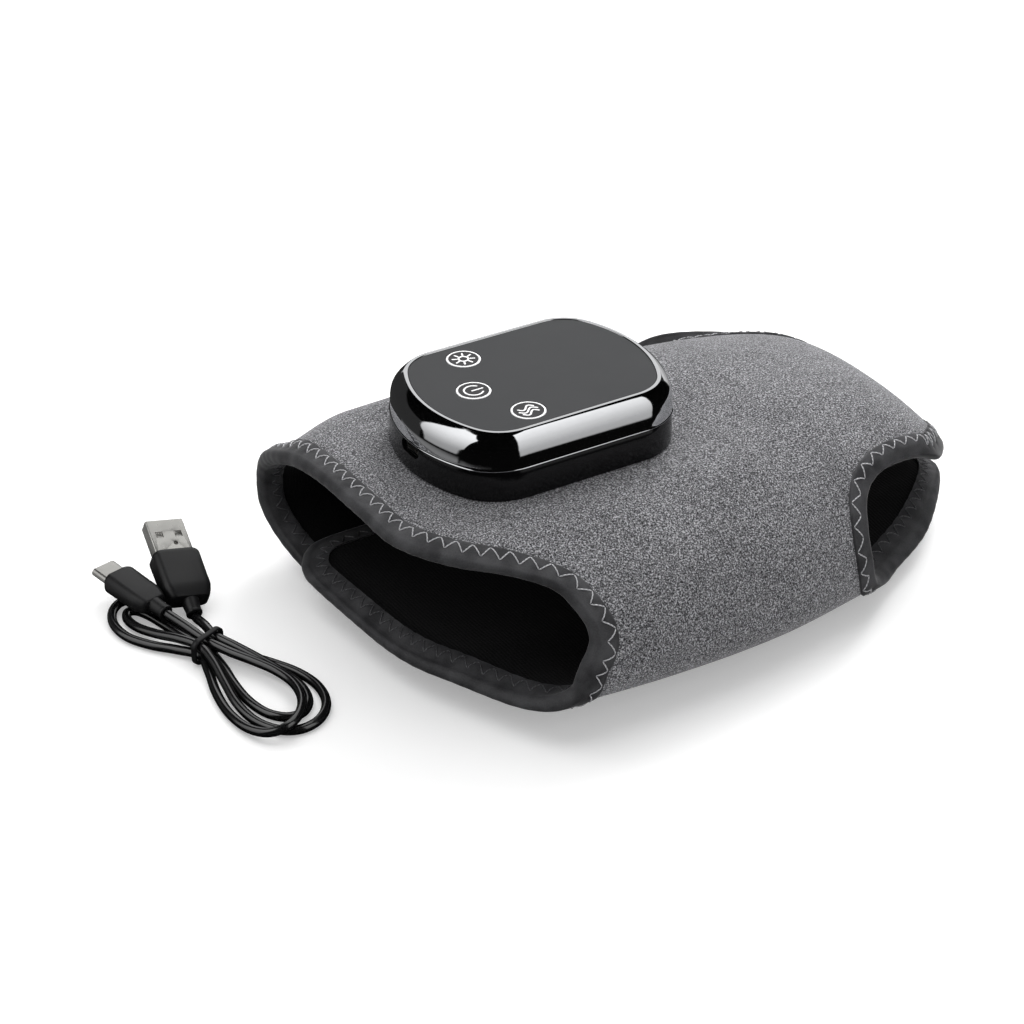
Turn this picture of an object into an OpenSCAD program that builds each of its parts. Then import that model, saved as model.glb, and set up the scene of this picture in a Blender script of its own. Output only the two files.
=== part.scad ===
// Wearable foot and ankle massager: a padded wrap closed into a loop, a control pod on top, a charging cord.
// Millimetres, +Z up. The origin is on the floor straight below the pod's centre, +X runs along the pod.

/* [Pod] */
// Height of the pod's top panel over the floor
panel_z = 75; // [70:0.5:80]
// Half length of the top panel, with its bulged ends
panel_half_l = 34.5; // [30:0.5:40]
// Half width of the top panel, across its straight sides
panel_half_w = 25.2; // [22:0.2:30]
// Radius of the bulged ends
panel_end_r = 40.5; // [36:0.5:60]
// Radius of the four plan corners
panel_corner_r = 12; // [8:0.5:16]
// Height of the pod from the cloth to the panel
pod_h = 20; // [18:0.5:24]

/* [Keys] */
// Radius of each round key
key_r = 5.05; // [4:0.05:6]
// Gap round each key
key_gap = 0.15; // [0.1:0.05:0.4]
// Travel of each key
key_travel = 0.5; // [0.3:0.1:0.8]
// Distance of the heat and massage keys from the pod's long axis
key_side = 17.8; // [15:0.1:19]
// Place of the heat and massage keys along the pod
key_side_x = -12.3; // [-16:0.1:-8]
// Place of the power key along the pod
key_mid_x = -19.5; // [-24:0.1:-16]

/* [Wrap] */
// Thickness of the velour face
velour_t = 1.2; // [0.8:0.1:1.6]
// Thickness of the foam core
foam_t = 2.8; // [2:0.1:4]
// Thickness of the lining
lining_t = 1.0; // [0.6:0.1:1.4]
// Width of the binding tape on each face
tape_w = 5.4; // [4:0.2:9]
// Thickness of the binding tape
tape_t = 0.8; // [0.5:0.1:1.2]
// Radius of the strip's four corners
corner_r = 14; // [8:1:20]
// Distance between the inner tail and the outer flap
closure_gap = 2.2; // [2:0.1:3]

/* [Motor] */
// Radius of the motor can
can_r = 4.5; // [3.5:0.1:5]
// Radius of the eccentric weight
weight_r = 5.2; // [4.5:0.1:5.4]
// Radius of the motor shaft
shaft_r = 0.75; // [0.5:0.05:1]
// Radial clearance of the shaft in its bearing
shaft_clear = 0.05; // [0.02:0.01:0.1]

/* [Charging cord] */
// Diameter of the cord
cord_d = 2.8; // [2.4:0.1:3.6]
// Length of the bare USB-A shell
plug_a_l = 11.8; // [11:0.1:13]
// Length of the USB-A moulding
mould_a_l = 17.5; // [15:0.5:22]
// Length of the USB-C moulding
mould_c_l = 18; // [14:0.5:22]

/* [Hidden] */

black = [0.04, 0.04, 0.045];
grey = [0.36, 0.36, 0.38];
tape = [0.15, 0.15, 0.16];
steel = [0.72, 0.72, 0.74];
eps = 0.01;

// Heights inside the pod
seat_z = panel_z - pod_h;
floor_in_z = seat_z + 2;
ledge_z = panel_z - 10.4;
shelf_z = panel_z - 1.4;
board_top_z = panel_z - 4;
board_t = 1.2;
wall_in = 2.9;
post_x = 24;
post_y = 15;
post_r = 2.2;
stud_r = 1;

// Neck through the wrap, and the plate that clamps it
neck_l = 35;
neck_w = 25;
plate_l = 56;
plate_w = 40;
plate_t = 1.8;
screw_x = 14;
screw_y = 9.5;
screw_r = 1.25;

// Sections of the wrap along X: half width, centre, crown, lowest point and height of the side folds
station_x = [-70, -40, 0, 40, 75, 105, 130];
half_width = [67, 70, 72, 68, 61, 54, 50];
centre_y = [-6, -5, -5, -6, -6, -6, -9];
crown_z = [52, 54, 56.5, 56.5, 57, 52, 34];
lowest_z = [3, 0.5, -0.5, -0.5, -0.3, 1.4, 3];
fold_z = [22, 24, 22, 18.5, 17, 16, 13.5];
squareness = 2.35;
// The tape is this much thicker at its fold than on its faces
roll_rise = 0.1;

// The strip's front and rear edges by angle round the loop: 0 near fold, 90 crown, 180 far fold
tail_turn = -135;
flap_turn = 285;
front_turn = [-135, -105, -75, -45, -15, 0, 15, 30, 45, 60, 75, 90, 105, 135, 165, 195, 225, 255, 285];
front_edge = [-61, -59, -55, -43, -31, -29, -24, -25, -30.3, -49.5, -59, -60.2, -60, -60, -58, -57, -55, -51, -45];
rear_turn = [-135, -105, -75, -45, -30, -15, 0, 15, 30, 37, 43, 49, 56, 66,
  75, 90, 105, 120, 135, 150, 165, 180, 195, 225, 255, 285];
rear_edge = [124, 131, 130, 108, 90, 80, 75, 73, 75, 80, 92, 110, 121, 128,
  131, 133, 131, 121, 99, 74, 62, 65, 72, 89, 104, 112];
columns = [0, 0.184, 0.416, 0.55, 0.7, 0.85, 1];
pitch = 9.6;
wrap_t = velour_t + foam_t + lining_t;

function smooth(a, b, x) = let (t = min(1, max(0, (x - a) / (b - a)))) t * t * (3 - 2 * t);
function signed_pow(v, p) = sign(v) * pow(abs(v), p);
function unit(v) = v / norm(v);
function slope(xs, vs, i) =
  let (a = max(0, i - 1), b = min(len(xs) - 1, i + 1)) (vs[b] - vs[a]) / (xs[b] - xs[a]);
function span(t, xs, i = 0) = i >= len(xs) - 2 || t < xs[i + 1] ? i : span(t, xs, i + 1);

// A smooth curve through given stations: cubic pieces with the slope of each station's neighbours
function curve(t, xs, vs) =
  let (
    k = span(t, xs),
    h = xs[k + 1] - xs[k],
    s = (t - xs[k]) / h,
    s2 = s * s,
    s3 = s2 * s
  )
  (2 * s3 - 3 * s2 + 1) * vs[k] + (s3 - 2 * s2 + s) * h * slope(xs, vs, k)
  + (3 * s2 - 2 * s3) * vs[k + 1] + (s3 - s2) * h * slope(xs, vs, k + 1);

// The tail runs inside the flap and comes out to the full section before the near fold
function tail_inset(turn) = (wrap_t + closure_gap) * (1 - smooth(-66, -20, turn));

// A point of the wrap by angle, X and depth under its outer face: a squarish oval, flat where the pod sits
// and flat on the floor, or lifted a little off it
function wrap_point(turn, x, depth, lift) =
  let (
    inset = depth + tail_inset(turn),
    a = curve(x, station_x, half_width) - inset,
    mid = curve(x, station_x, fold_z),
    up = curve(x, station_x, crown_z) - mid - inset,
    down = mid - curve(x, station_x, lowest_z) - inset,
    c = cos(turn),
    s = sin(turn),
    y = curve(x, station_x, centre_y) - a * signed_pow(c, 2 / squareness),
    free = mid + (s > 0 ? up : down) * signed_pow(s, 2 / squareness),
    away = norm([max(0, abs(x) - 36), max(0, abs(y) - 27)]),
    w = s > 0 ? 1 - smooth(9, 30, away) : 0,
    z = free * (1 - w) + (seat_z - inset) * w
  )
  [x, y, max(z, inset + lift)];

// Length along the strip against angle, measured at mid thickness and counted from under the pod's middle
turn_step = 3;
gauge_x = 20;
turns = [for (t = [tail_turn:turn_step:flap_turn]) t];
function lap_chord(i) =
  norm(wrap_point(turns[i + 1], gauge_x, wrap_t / 2, 0) - wrap_point(turns[i], gauge_x, wrap_t / 2, 0));
laps = [for (i = 0, s = 0; i < len(turns); s = i < len(turns) - 1 ? s + lap_chord(i) : s, i = i + 1) s];
pod_lap = laps[(90 - tail_turn) / turn_step] - curve(gauge_x, station_x, centre_y);
turn_of_lap = [for (i = [0:len(turns) - 1]) [laps[i] - pod_lap, turns[i]]];
lap_low = -pod_lap;
lap_high = laps[len(laps) - 1] - pod_lap;
function turn_at(lap) = lookup(lap, turn_of_lap);

// Places on the flat strip are [length from the pod's middle, X]. A row runs across it from the front to the rear edge;
// the three rows at each end fan round the strip's corners
corner_turns = [90, 60, 30];
first_line = ceil((lap_low + corner_r + 5) / pitch - 0.5) + 0.5;
last_line = floor((lap_high - corner_r - 5) / pitch - 0.5) + 0.5;
straight = concat(
  [lap_low + corner_r],
  [for (k = [first_line:1:last_line]) k * pitch],
  [lap_high - corner_r]
);
rows = len(straight) + 2 * len(corner_turns);
function edge_x(lap, rear) = rear ? curve(turn_at(lap), rear_turn, rear_edge) : curve(turn_at(lap), front_turn, front_edge);
function edge_normal(lap, rear) = (rear ? -1 : 1) * unit([edge_x(lap - 1, rear) - edge_x(lap + 1, rear), 2]);
function corner_at(end_lap, into, rear, turn, inset) =
  let (lap = end_lap + into * corner_r, side = rear ? 1 : -1, r = corner_r - inset)
  [lap - into * r * sin(turn), edge_x(lap, rear) - side * corner_r + side * r * cos(turn)];
function edge_at(i, rear, inset) =
  let (n = len(corner_turns), k = i - n)
  i < n ? corner_at(lap_low, 1, rear, corner_turns[i], inset)
  : i >= rows - n ? corner_at(lap_high, -1, rear, corner_turns[rows - 1 - i], inset)
  : let (lap = straight[k]) [lap, edge_x(lap, rear)] + inset * edge_normal(lap, rear);
function inner_at(i, j) =
  edge_at(i, false, tape_w) * (1 - columns[j]) + edge_at(i, true, tape_w) * columns[j];

// The strip's border, once round: front side, flap end, rear side, tail end
cols = len(columns) - 1;
border = concat(
  [for (i = [0:rows - 1]) [i, 0]],
  [for (j = [1:cols - 1]) [rows - 1, j]],
  [for (i = [rows - 1:-1:0]) [i, cols]],
  [for (j = [cols - 1:-1:1]) [0, j]]
);
function border_at(q, inset) =
  q[1] == 0 ? edge_at(q[0], false, inset)
  : q[1] == cols ? edge_at(q[0], true, inset)
  : q[0] == 0 ? [lap_low + inset, inner_at(0, q[1])[1]]
  : [lap_high - inset, inner_at(rows - 1, q[1])[1]];

// The table of angles stops at the strip's ends, and the tape's roll goes a little past them
function over_turn(lap) =
  lap > lap_high ? (lap - lap_high) * 0.8 : lap < lap_low ? (lap - lap_low) * 0.8 : 0;
// The tape squeezes the layers along the edge towards their outer face: least at the side folds, most at the crown
function pinch(turn) = 0.42 + 0.33 * pow(cos(turn), 2);
function pinched(depth, turn) = depth - (1 - pinch(turn)) * min(wrap_t, max(0, depth));
function place(q, depth, lift, at_edge) =
  let (turn = turn_at(q[0]) + over_turn(q[0]))
  wrap_point(turn, q[1], at_edge ? pinched(depth, turn) : depth, lift);
// The strip's edges stand off the floor by the tape under them, and the cloth between them sags down to it
edge_lift = tape_t + roll_rise;
function lift_at(i, j) = i <= len(corner_turns) || i >= rows - 1 - len(corner_turns) || j == 0 || j == cols ? edge_lift : 0;

// Cells of the strip: all but the neck's window, then without the pad, the pad alone, or the hook tape's patch
function row_lap(i) = (inner_at(i, 1)[0] + inner_at(i + 1, 1)[0]) / 2;
row_laps = [for (i = [0:rows - 2]) row_lap(i)];
function in_window(i, j) = abs(row_laps[i]) < 1.6 * pitch && j == 1;
function in_pad(i, j) = abs(row_laps[i]) < 5.6 * pitch && j >= 1 && j <= 3 && !in_window(i, j);
function in_patch(i, j) = i > rows - 12 && i < rows - 5 && j >= 1 && j <= 4;
function has_cell(i, j, part) =
  i >= 0 && j >= 0 && i < rows - 1 && j < cols && !in_window(i, j)
  && (part == "all" || (part == "rim" && !in_pad(i, j)) || (part == "pad" && in_pad(i, j))
    || (part == "patch" && in_patch(i, j)));

// One layer of the strip between two depths. Grid places come first, then the border's outer places
function grid(i, j) = 2 * (i * (cols + 1) + j);
rim_0 = 2 * rows * (cols + 1);
function upright(p, q, flip) = flip ? [[q, p, q + 1], [p, p + 1, q + 1]] : [[p, q, q + 1], [p, q + 1, p + 1]];
function plate(a, b, c, d) = [[a, b, c], [a, c, d], [c + 1, b + 1, a + 1], [d + 1, c + 1, a + 1]];
function cell_faces(i, j, part) =
  let (bordered = part == "all" || part == "rim")
  concat(
    plate(grid(i, j), grid(i + 1, j), grid(i + 1, j + 1), grid(i, j + 1)),
    has_cell(i, j - 1, part) || (bordered && j == 0) ? [] : upright(grid(i, j), grid(i + 1, j), true),
    has_cell(i, j + 1, part) || (bordered && j == cols - 1) ? []
    : upright(grid(i, j + 1), grid(i + 1, j + 1), false),
    has_cell(i - 1, j, part) || (bordered && i == 0) ? [] : upright(grid(i, j), grid(i, j + 1), false),
    has_cell(i + 1, j, part) || (bordered && i == rows - 2) ? []
    : upright(grid(i + 1, j), grid(i + 1, j + 1), true)
  );
function band_faces(k) =
  let (
    m = (k + 1) % len(border),
    a = rim_0 + 2 * k,
    b = rim_0 + 2 * m,
    c = grid(border[m][0], border[m][1]),
    d = grid(border[k][0], border[k][1])
  )
  concat(plate(a, b, c, d), upright(a, b, true));

module layer(outer, inner, part) {
  places = concat(
    [for (i = [0:rows - 1], j = [0:cols]) [inner_at(i, j), lift_at(i, j), false]],
    [for (q = border) [border_at(q, 0), edge_lift, true]]
  );
  faces = concat(
    [for (i = [0:rows - 2], j = [0:cols - 1]) if (has_cell(i, j, part)) for (f = cell_faces(i, j, part)) f],
    [if (part == "all" || part == "rim") for (k = [0:len(border) - 1]) for (f = band_faces(k)) f]
  );
  touches = [
    for (i = [0:rows - 1], j = [0:cols])
      has_cell(i, j, part) || has_cell(i - 1, j, part) || has_cell(i, j - 1, part) || has_cell(i - 1, j - 1, part)
        || ((part == "all" || part == "rim") && (i == 0 || j == 0 || i == rows - 1 || j == cols)) ? 1 : 0
  ];
  used = concat(touches, [for (q = border) part == "all" || part == "rim" ? 1 : 0]);
  rank = [for (i = 0, s = 0; i < len(used); s = s + used[i], i = i + 1) s];
  polyhedron(
    points = [
      for (i = [0:len(used) - 1]) if (used[i] == 1)
        for (depth = [outer, inner]) place(places[i][0], depth, places[i][1], places[i][2])
    ],
    faces = [for (f = faces) [for (v = f) 2 * rank[floor(v / 2)] + v % 2]],
    convexity = 6
  );
}

// A tube of given rings; open tubes get flat ends. Segments from cross_from to cross_to are split the other way
module tube_of(rings, closed = false, flip = false, cross_from = 0, cross_to = 0) {
  n = len(rings[0]);
  m = len(rings);
  last = closed ? m - 1 : m - 2;
  sides = [
    for (i = [0:last], k = [0:n - 1])
      let (a = i * n + k, b = i * n + (k + 1) % n, c = ((i + 1) % m) * n + (k + 1) % n, d = ((i + 1) % m) * n + k)
      for (f = k >= cross_from && k < cross_to ? [[a, b, d], [b, c, d]] : [[a, b, c], [a, c, d]]) f
  ];
  ends = closed ? [] : [[for (k = [n - 1:-1:0]) k], [for (k = [0:n - 1]) (m - 1) * n + k]];
  faces = concat(sides, ends);
  polyhedron(
    points = [for (r = rings, p = r) p],
    faces = flip ? [for (f = faces) [for (k = [len(f) - 1:-1:0]) f[k]]] : faces,
    convexity = 8
  );
}

// The binding tape: a U folded round the strip's edge, as distances inwards and depths. Its inner faces
// follow the layers' own, so the tape lies on them without a gap
tape_section = [
  [tape_w, -tape_t], [0, -tape_t - roll_rise], [-1.8, 0.2 * wrap_t], [-1.8, 0.8 * wrap_t],
  [0, wrap_t + tape_t + roll_rise], [tape_w, wrap_t + tape_t],
  [tape_w, wrap_t], [0, wrap_t], [0, wrap_t - lining_t], [0, velour_t], [0, 0], [tape_w, 0]
];
half_cols = floor(cols / 2);
module binding(from, to) {
  n = len(border);
  tube_of([
    for (k = [from:to])
      [for (s = tape_section) place(border_at(border[(k + n) % n], s[0]), s[1], edge_lift, s[0] <= 0)]
  ], cross_from = 6, cross_to = 10);
}

module outer_fabric() {
  color(grey) layer(0, velour_t, "all");
}
module foam_core() {
  color([0.3, 0.3, 0.3]) layer(velour_t, velour_t + foam_t, "rim");
}
module heating_pad() {
  color([0.5, 0.2, 0.1]) layer(velour_t, velour_t + foam_t, "pad");
}
module lining() {
  color(black) layer(velour_t + foam_t, wrap_t, "all");
}
module front_binding() {
  color(tape) binding(-half_cols, rows - 1 + half_cols);
}
module rear_binding() {
  color(tape) binding(rows - 1 + half_cols, 2 * rows + cols - 2 + half_cols);
}
// The hook tape on the flap's lining, which grips the tail's velour
module hook_patch() {
  color(black) layer(wrap_t, wrap_t + closure_gap - 1, "patch");
}

// Plan outline of the pod, grown by d: straight sides, bulged ends, round corners
end_steps = 5;
corner_steps = 5;
function quarter(d) =
  let (
    cx = panel_half_l - panel_end_r,
    cy = panel_half_w - panel_corner_r,
    dx = sqrt(pow(panel_end_r - panel_corner_r, 2) - cy * cy),
    a0 = atan2(cy, dx)
  )
  concat(
    [for (i = [0:end_steps - 1]) let (a = a0 * (i + 0.5) / end_steps) [cx, 0] + (panel_end_r + d) * [cos(a), sin(a)]],
    [for (i = [0:corner_steps]) let (a = a0 + (90 - a0) * i / corner_steps)
      [cx + dx, cy] + (panel_corner_r + d) * [cos(a), sin(a)]]
  );
function mirror_x(q) = [for (i = [len(q) - 1:-1:0]) [-q[i][0], q[i][1]]];
function turn_half(q) = [for (p = q) -p];
function outline(d) =
  let (q = quarter(d), h = concat(q, mirror_x(q)))
  concat(h, turn_half(h));
function ring_at(s) = [for (p = outline(s[0])) [p[0], p[1], s[1]]];
// A body of rings that each have an offset and a height: closed ones are frames, open ones have flat ends
module stacked(section, closed = false, flip = true) {
  tube_of([for (s = section) ring_at(s)], closed, flip);
}
module disc(r, z0, z1, n = 32) {
  translate([0, 0, z0]) cylinder(r = r, h = z1 - z0, $fn = n);
}
module block(size, z0) {
  translate([-size[0] / 2, -size[1] / 2, z0]) cube(size);
}
// A bar of stadium section along Y: w wide in X, h high, l long
module stadium(w, h, l) {
  translate([-(w - h) / 2, 0, -h / 2]) cube([w - h, l, h]);
  for (side = [-1, 1])
    translate([side * (w - h) / 2, 0, 0]) rotate([-90, 0, 0]) cylinder(d = h, h = l, $fn = 24);
}

port_z = panel_z - 12.6;
port_w = 8.94;
port_h = 3.26;
// The socket is set back into the base's end wall
port_x = -panel_half_l - 4.65;

module base_shell() {
  difference() {
    union() {
      stacked([
        [4.3, seat_z], [5, seat_z + 0.7], [5, seat_z + 2], [4.75, ledge_z],
        [wall_in, ledge_z], [wall_in, floor_in_z]
      ]);
      block([neck_l, neck_w, pod_h / 4 + 1], seat_z - wrap_t);
    }
    translate([port_x - 2, 0, port_z]) rotate([0, 0, -90]) stadium(port_w + 0.4, port_h + 0.3, 8);
    for (sx = [-1, 1], sy = [-1, 1])
      translate([sx * screw_x, sy * screw_y, 0]) disc(screw_r, seat_z - wrap_t - 1, floor_in_z - 0.6, 20);
    translate([lead_x - 0.4, -lead_w / 2 - 0.4, seat_z - wrap_t - 1]) cube([lead_t + 0.8, lead_w + 0.8, wrap_t + 4]);
  }
}
module pod_base() {
  color(black) {
    base_shell();
    for (sx = [-1, 1], sy = [-1, 1]) translate([sx * post_x, sy * post_y, 0]) {
      disc(post_r, floor_in_z, board_top_z - board_t, 20);
      disc(stud_r, board_top_z - board_t, board_top_z + 0.8, 16);
    }
    for (side = [-1, 1]) translate([-31, side * 6, 0]) block([8, 1.6, port_z - port_h / 2 - 0.8 - floor_in_z], floor_in_z);
  }
}
// The frame that lines up the base and the bezel from inside
module mid_frame() {
  color(black) difference() {
    stacked([
      [wall_in - 0.05, ledge_z - 2], [wall_in - 0.05, ledge_z + 1.8], [1.3, ledge_z + 1.8], [1.3, ledge_z - 2]
    ], closed = true, flip = false);
    translate([port_x - 1, 0, port_z]) rotate([0, 0, -90]) stadium(port_w + 0.6, port_h + 0.5, 8);
  }
}
// The chrome ring: a bright foot line, a steep side that bends over to a narrow flat lip, a shelf for the panel
module bezel_ring() {
  color(steel) stacked([
    [4.85, ledge_z], [4.85, ledge_z + 0.3], [4.55, ledge_z + 0.5], [4.45, ledge_z + 2.6], [4.3, ledge_z + 4.4],
    [3.95, panel_z - 4], [3.25, panel_z - 2.2], [2.3, panel_z - 0.8], [1.5, panel_z], [1.1, panel_z + 0.2],
    [0.5, panel_z + 0.2], [0.25, panel_z - 0.1], [0.25, shelf_z], [-1.2, shelf_z], [-1.2, shelf_z - 1],
    [1.6, shelf_z - 2.2], [wall_in, ledge_z + 1.9], [wall_in, ledge_z]
  ], closed = true, flip = false);
}
key_places = [[key_side_x, key_side], [key_mid_x, 0], [key_side_x, -key_side]];
module top_panel() {
  color([0.09, 0.09, 0.1]) difference() {
    stacked([[0.2, shelf_z], [0.2, panel_z - 0.15], [0.05, panel_z]], flip = false);
    for (p = key_places) translate([p[0], p[1], 0]) disc(key_r + key_gap, shelf_z - 1, panel_z + 1, 40);
  }
}
module key(i) {
  color([0.06, 0.06, 0.065]) translate([key_places[i][0], key_places[i][1], 0]) {
    disc(key_r, shelf_z - 0.8, panel_z - 0.15, 40);
    translate([0, 0, panel_z - 0.15]) cylinder(r1 = key_r, r2 = key_r - 0.15, h = 0.15, $fn = 40);
    disc(key_r + 0.85, shelf_z - 0.8, shelf_z - 0.2, 40);
  }
}
module heat_key() {
  key(0);
}
module power_key() {
  key(1);
}
module massage_key() {
  key(2);
}
module circuit_board() {
  color([0.05, 0.25, 0.12]) difference() {
    stacked([[-2.5, board_top_z - board_t], [-2.5, board_top_z]], flip = false);
    for (sx = [-1, 1], sy = [-1, 1])
      translate([sx * post_x, sy * post_y, 0]) disc(stud_r, board_top_z - board_t - 1, board_top_z + 1, 16);
  }
}
switch_w = 4.5;
switch_h = shelf_z - 0.8 - key_travel - 0.05 - board_top_z;
module switch(i) {
  color(steel) translate([key_places[i][0], key_places[i][1], 0]) {
    block([switch_w, switch_w, switch_h * 0.7], board_top_z);
    disc(switch_w * 0.32, board_top_z + switch_h * 0.7, board_top_z + switch_h, 20);
  }
}
module heat_switch() {
  switch(0);
}
module power_switch() {
  switch(1);
}
module massage_switch() {
  switch(2);
}
module charge_socket() {
  color(steel) translate([port_x, 0, port_z]) rotate([0, 0, -90]) {
    difference() {
      stadium(port_w, port_h, 7.3);
      translate([0, -eps, 0]) stadium(port_w - 0.6, port_h - 0.6, 6.5);
    }
    translate([-3.35, 1.6, -0.35]) cube([6.7, 4.9, 0.7]);
  }
}
module charge_board() {
  color([0.05, 0.25, 0.12]) translate([-31, 0, 0]) block([10, 17, 0.8], port_z - port_h / 2 - 0.8);
}
module battery_cell() {
  color([0.55, 0.57, 0.6]) translate([1, 0, 0]) block([34, 24, 5.6], floor_in_z);
}
// A flat lead from the heating pad's cut edge up through the base's slot to the board
lead_x = -19.2;
lead_w = 6;
lead_t = 0.7;
module heater_lead() {
  z = seat_z - wrap_t + lining_t + 0.2;
  pad_x = max([for (i = [0:rows - 1]) if (abs(inner_at(i, 1)[0]) < pitch) inner_at(i, 1)[1]]) + 2 * eps;
  color([0.5, 0.1, 0.08]) {
    translate([lead_x, -lead_w / 2, z]) cube([lead_t, lead_w, board_top_z - board_t - z]);
    translate([pad_x, -lead_w / 2, z]) cube([lead_x + lead_t - pad_x, lead_w, lead_t]);
  }
}

// The vibration motor lies across the pod
motor_x = 27;
motor_z = floor_in_z + 6;
can_y = -12;
can_l = 13;
module along_y(y0, y1, r, n = 32) {
  translate([motor_x, y0, motor_z]) rotate([-90, 0, 0]) cylinder(r = r, h = y1 - y0, $fn = n);
}
module motor_can() {
  color(steel) difference() {
    along_y(can_y, can_y + can_l, can_r);
    along_y(can_y + 4, can_y + can_l + 1, shaft_r + shaft_clear, 24);
  }
}
module motor_cradle() {
  color(black) difference() {
    translate([motor_x, can_y + can_l / 2, 0]) block([11.4, can_l - 3, 5.2], floor_in_z);
    along_y(can_y - 1, can_y + can_l + 1, can_r);
  }
}
module motor_shaft() {
  color(steel) along_y(can_y + 4.2, can_y + can_l + 8.6, shaft_r, 24);
}
module eccentric_weight() {
  color([0.5, 0.5, 0.52]) difference() {
    along_y(can_y + can_l + 1.4, can_y + can_l + 8, weight_r);
    translate([motor_x - weight_r - 1, can_y + can_l, motor_z + shaft_r + 1.2]) cube([2 * weight_r + 2, 12, weight_r]);
    along_y(can_y + can_l, can_y + can_l + 9, shaft_r, 24);
  }
}

plate_top = seat_z - wrap_t;
module clamp_plate() {
  color(black) difference() {
    union() {
      block([plate_l - 12, plate_w, plate_t], plate_top - plate_t);
      block([plate_l, plate_w - 12, plate_t], plate_top - plate_t);
      for (sx = [-1, 1], sy = [-1, 1])
        translate([sx * (plate_l / 2 - 6), sy * (plate_w / 2 - 6), 0]) disc(6, plate_top - plate_t, plate_top, 32);
    }
    for (sx = [-1, 1], sy = [-1, 1])
      translate([sx * screw_x, sy * screw_y, 0]) disc(screw_r, plate_top - plate_t - 1, plate_top + 1, 20);
  }
}
module clamp_screw(i) {
  color(steel) translate([(i % 2 == 0 ? -1 : 1) * screw_x, (i < 2 ? -1 : 1) * screw_y, 0]) difference() {
    union() {
      disc(2.4, plate_top - plate_t - 1.5, plate_top - plate_t, 24);
      disc(screw_r, plate_top - plate_t, floor_in_z - 0.6, 20);
    }
    for (a = [0, 90]) rotate([0, 0, a]) block([2.6, 0.5, 1], plate_top - plate_t - 1.6);
  }
}
module clamp_screw_1() {
  clamp_screw(0);
}
module clamp_screw_2() {
  clamp_screw(1);
}
module clamp_screw_3() {
  clamp_screw(2);
}
module clamp_screw_4() {
  clamp_screw(3);
}

// Charging cord: both plugs point their tips along their own +Y
plug_a_at = [-89.5, 58.5, 11.8];
plug_a_turn = [23, 10, -5];
plug_c_at = [-107.2, 60.5, 8.6];
plug_c_turn = [4, 0, 13];
module at_a() {
  translate(plug_a_at) rotate(plug_a_turn) children();
}
module at_c() {
  translate(plug_c_at) rotate(plug_c_turn) children();
}
module usb_a_shell() {
  color(steel) at_a() difference() {
    translate([-6, -2, -2.25]) cube([12, plug_a_l + 2, 4.5]);
    translate([-5.7, -1, -1.95]) cube([11.4, plug_a_l + 2, 3.9]);
    for (side = [-1, 1]) translate([side * 3 - 1.15, plug_a_l - 6.6, 1]) cube([2.3, 2.1, 3]);
    translate([1.2, plug_a_l - 9, 1]) cylinder(r = 0.7, h = 2, $fn = 20);
  }
}
module usb_a_tongue() {
  color([0.9, 0.9, 0.9]) at_a() translate([-5.7, -1, -1.95]) cube([11.4, plug_a_l, 1.9]);
}
// A moulding with long edges rounded and a narrower back
module moulded(w, h, l, r) {
  rings = [
    for (s = [[0, 0.55], [0.4, 0], [0.72 * l, 0], [l - 0.5, 0.9], [l, 1.5]])
      let (hw = w / 2 - s[1] * 1.2 - r, hh = h / 2 - s[1] * 0.7 - r)
      [for (q = [0:3], a = [0, 30, 60, 90])
        let (sx = q == 0 || q == 3 ? 1 : -1, sz = q < 2 ? 1 : -1)
        [sx * hw + r * cos(a + 90 * q), -s[0], sz * hh + r * sin(a + 90 * q)]]
  ];
  tube_of(rings, flip = true);
}
module usb_a_moulding() {
  color(black) at_a() difference() {
    moulded(15, 7.6, mould_a_l, 2.2);
    translate([-6, -2, -2.25]) cube([12, 4, 4.5]);
  }
}
// A taper with a small collar at its far end
module cone_relief(r1, r2, l) {
  rotate([90, 0, 0]) difference() {
    union() {
      cylinder(r1 = r1, r2 = r2, h = l, $fn = 24);
      translate([0, 0, l - 0.9]) cylinder(r = r2 + 0.25, h = 0.9, $fn = 24);
    }
    translate([0, 0, -1]) cylinder(r = cord_r + 0.2, h = l + 2, $fn = 24);
  }
}
module usb_a_relief() {
  color(black) at_a() translate([0, -mould_a_l, 0]) cone_relief(2.7, 2.2, 5);
}
module usb_c_shell() {
  color(steel) at_c() difference() {
    translate([0, -1.5, 0]) stadium(8.34, 2.56, 8.1);
    translate([0, -0.5, 0]) stadium(7.6, 1.9, 8);
  }
}
module usb_c_tongue() {
  color(black) at_c() translate([-3, -0.5, -0.95]) cube([6, 5.2, 0.4]);
}
module usb_c_moulding() {
  color(black) at_c() difference() {
    moulded(11, 6.4, mould_c_l, 2.6);
    translate([0, -1.5, 0]) stadium(8.34, 2.56, 3);
  }
}
module usb_c_relief() {
  color(black) at_c() translate([0, -mould_c_l, 0]) cone_relief(2.5, 2.1, 5.5);
}

// The cord is folded into a hank: three long loops, two short ones, held by one tie
cord_r = cord_d / 2;
tie_at = [-97.5, 20, 0];
tie_along = [0.385, -0.923, 0];
tie_across = [0.923, 0.385, 0];
low = 2.55;
high = 5.85;
side = 3.35;
function tie_slot(v, z) = tie_at + tie_across * v + [0, 0, z];
function turned(a, v) =
  let (
    x = [v[0], v[1] * cos(a[0]) - v[2] * sin(a[0]), v[1] * sin(a[0]) + v[2] * cos(a[0])],
    y = [x[0] * cos(a[1]) + x[2] * sin(a[1]), x[1], x[2] * cos(a[1]) - x[0] * sin(a[1])]
  )
  [y[0] * cos(a[2]) - y[1] * sin(a[2]), y[0] * sin(a[2]) + y[1] * cos(a[2]), y[2]];
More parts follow.
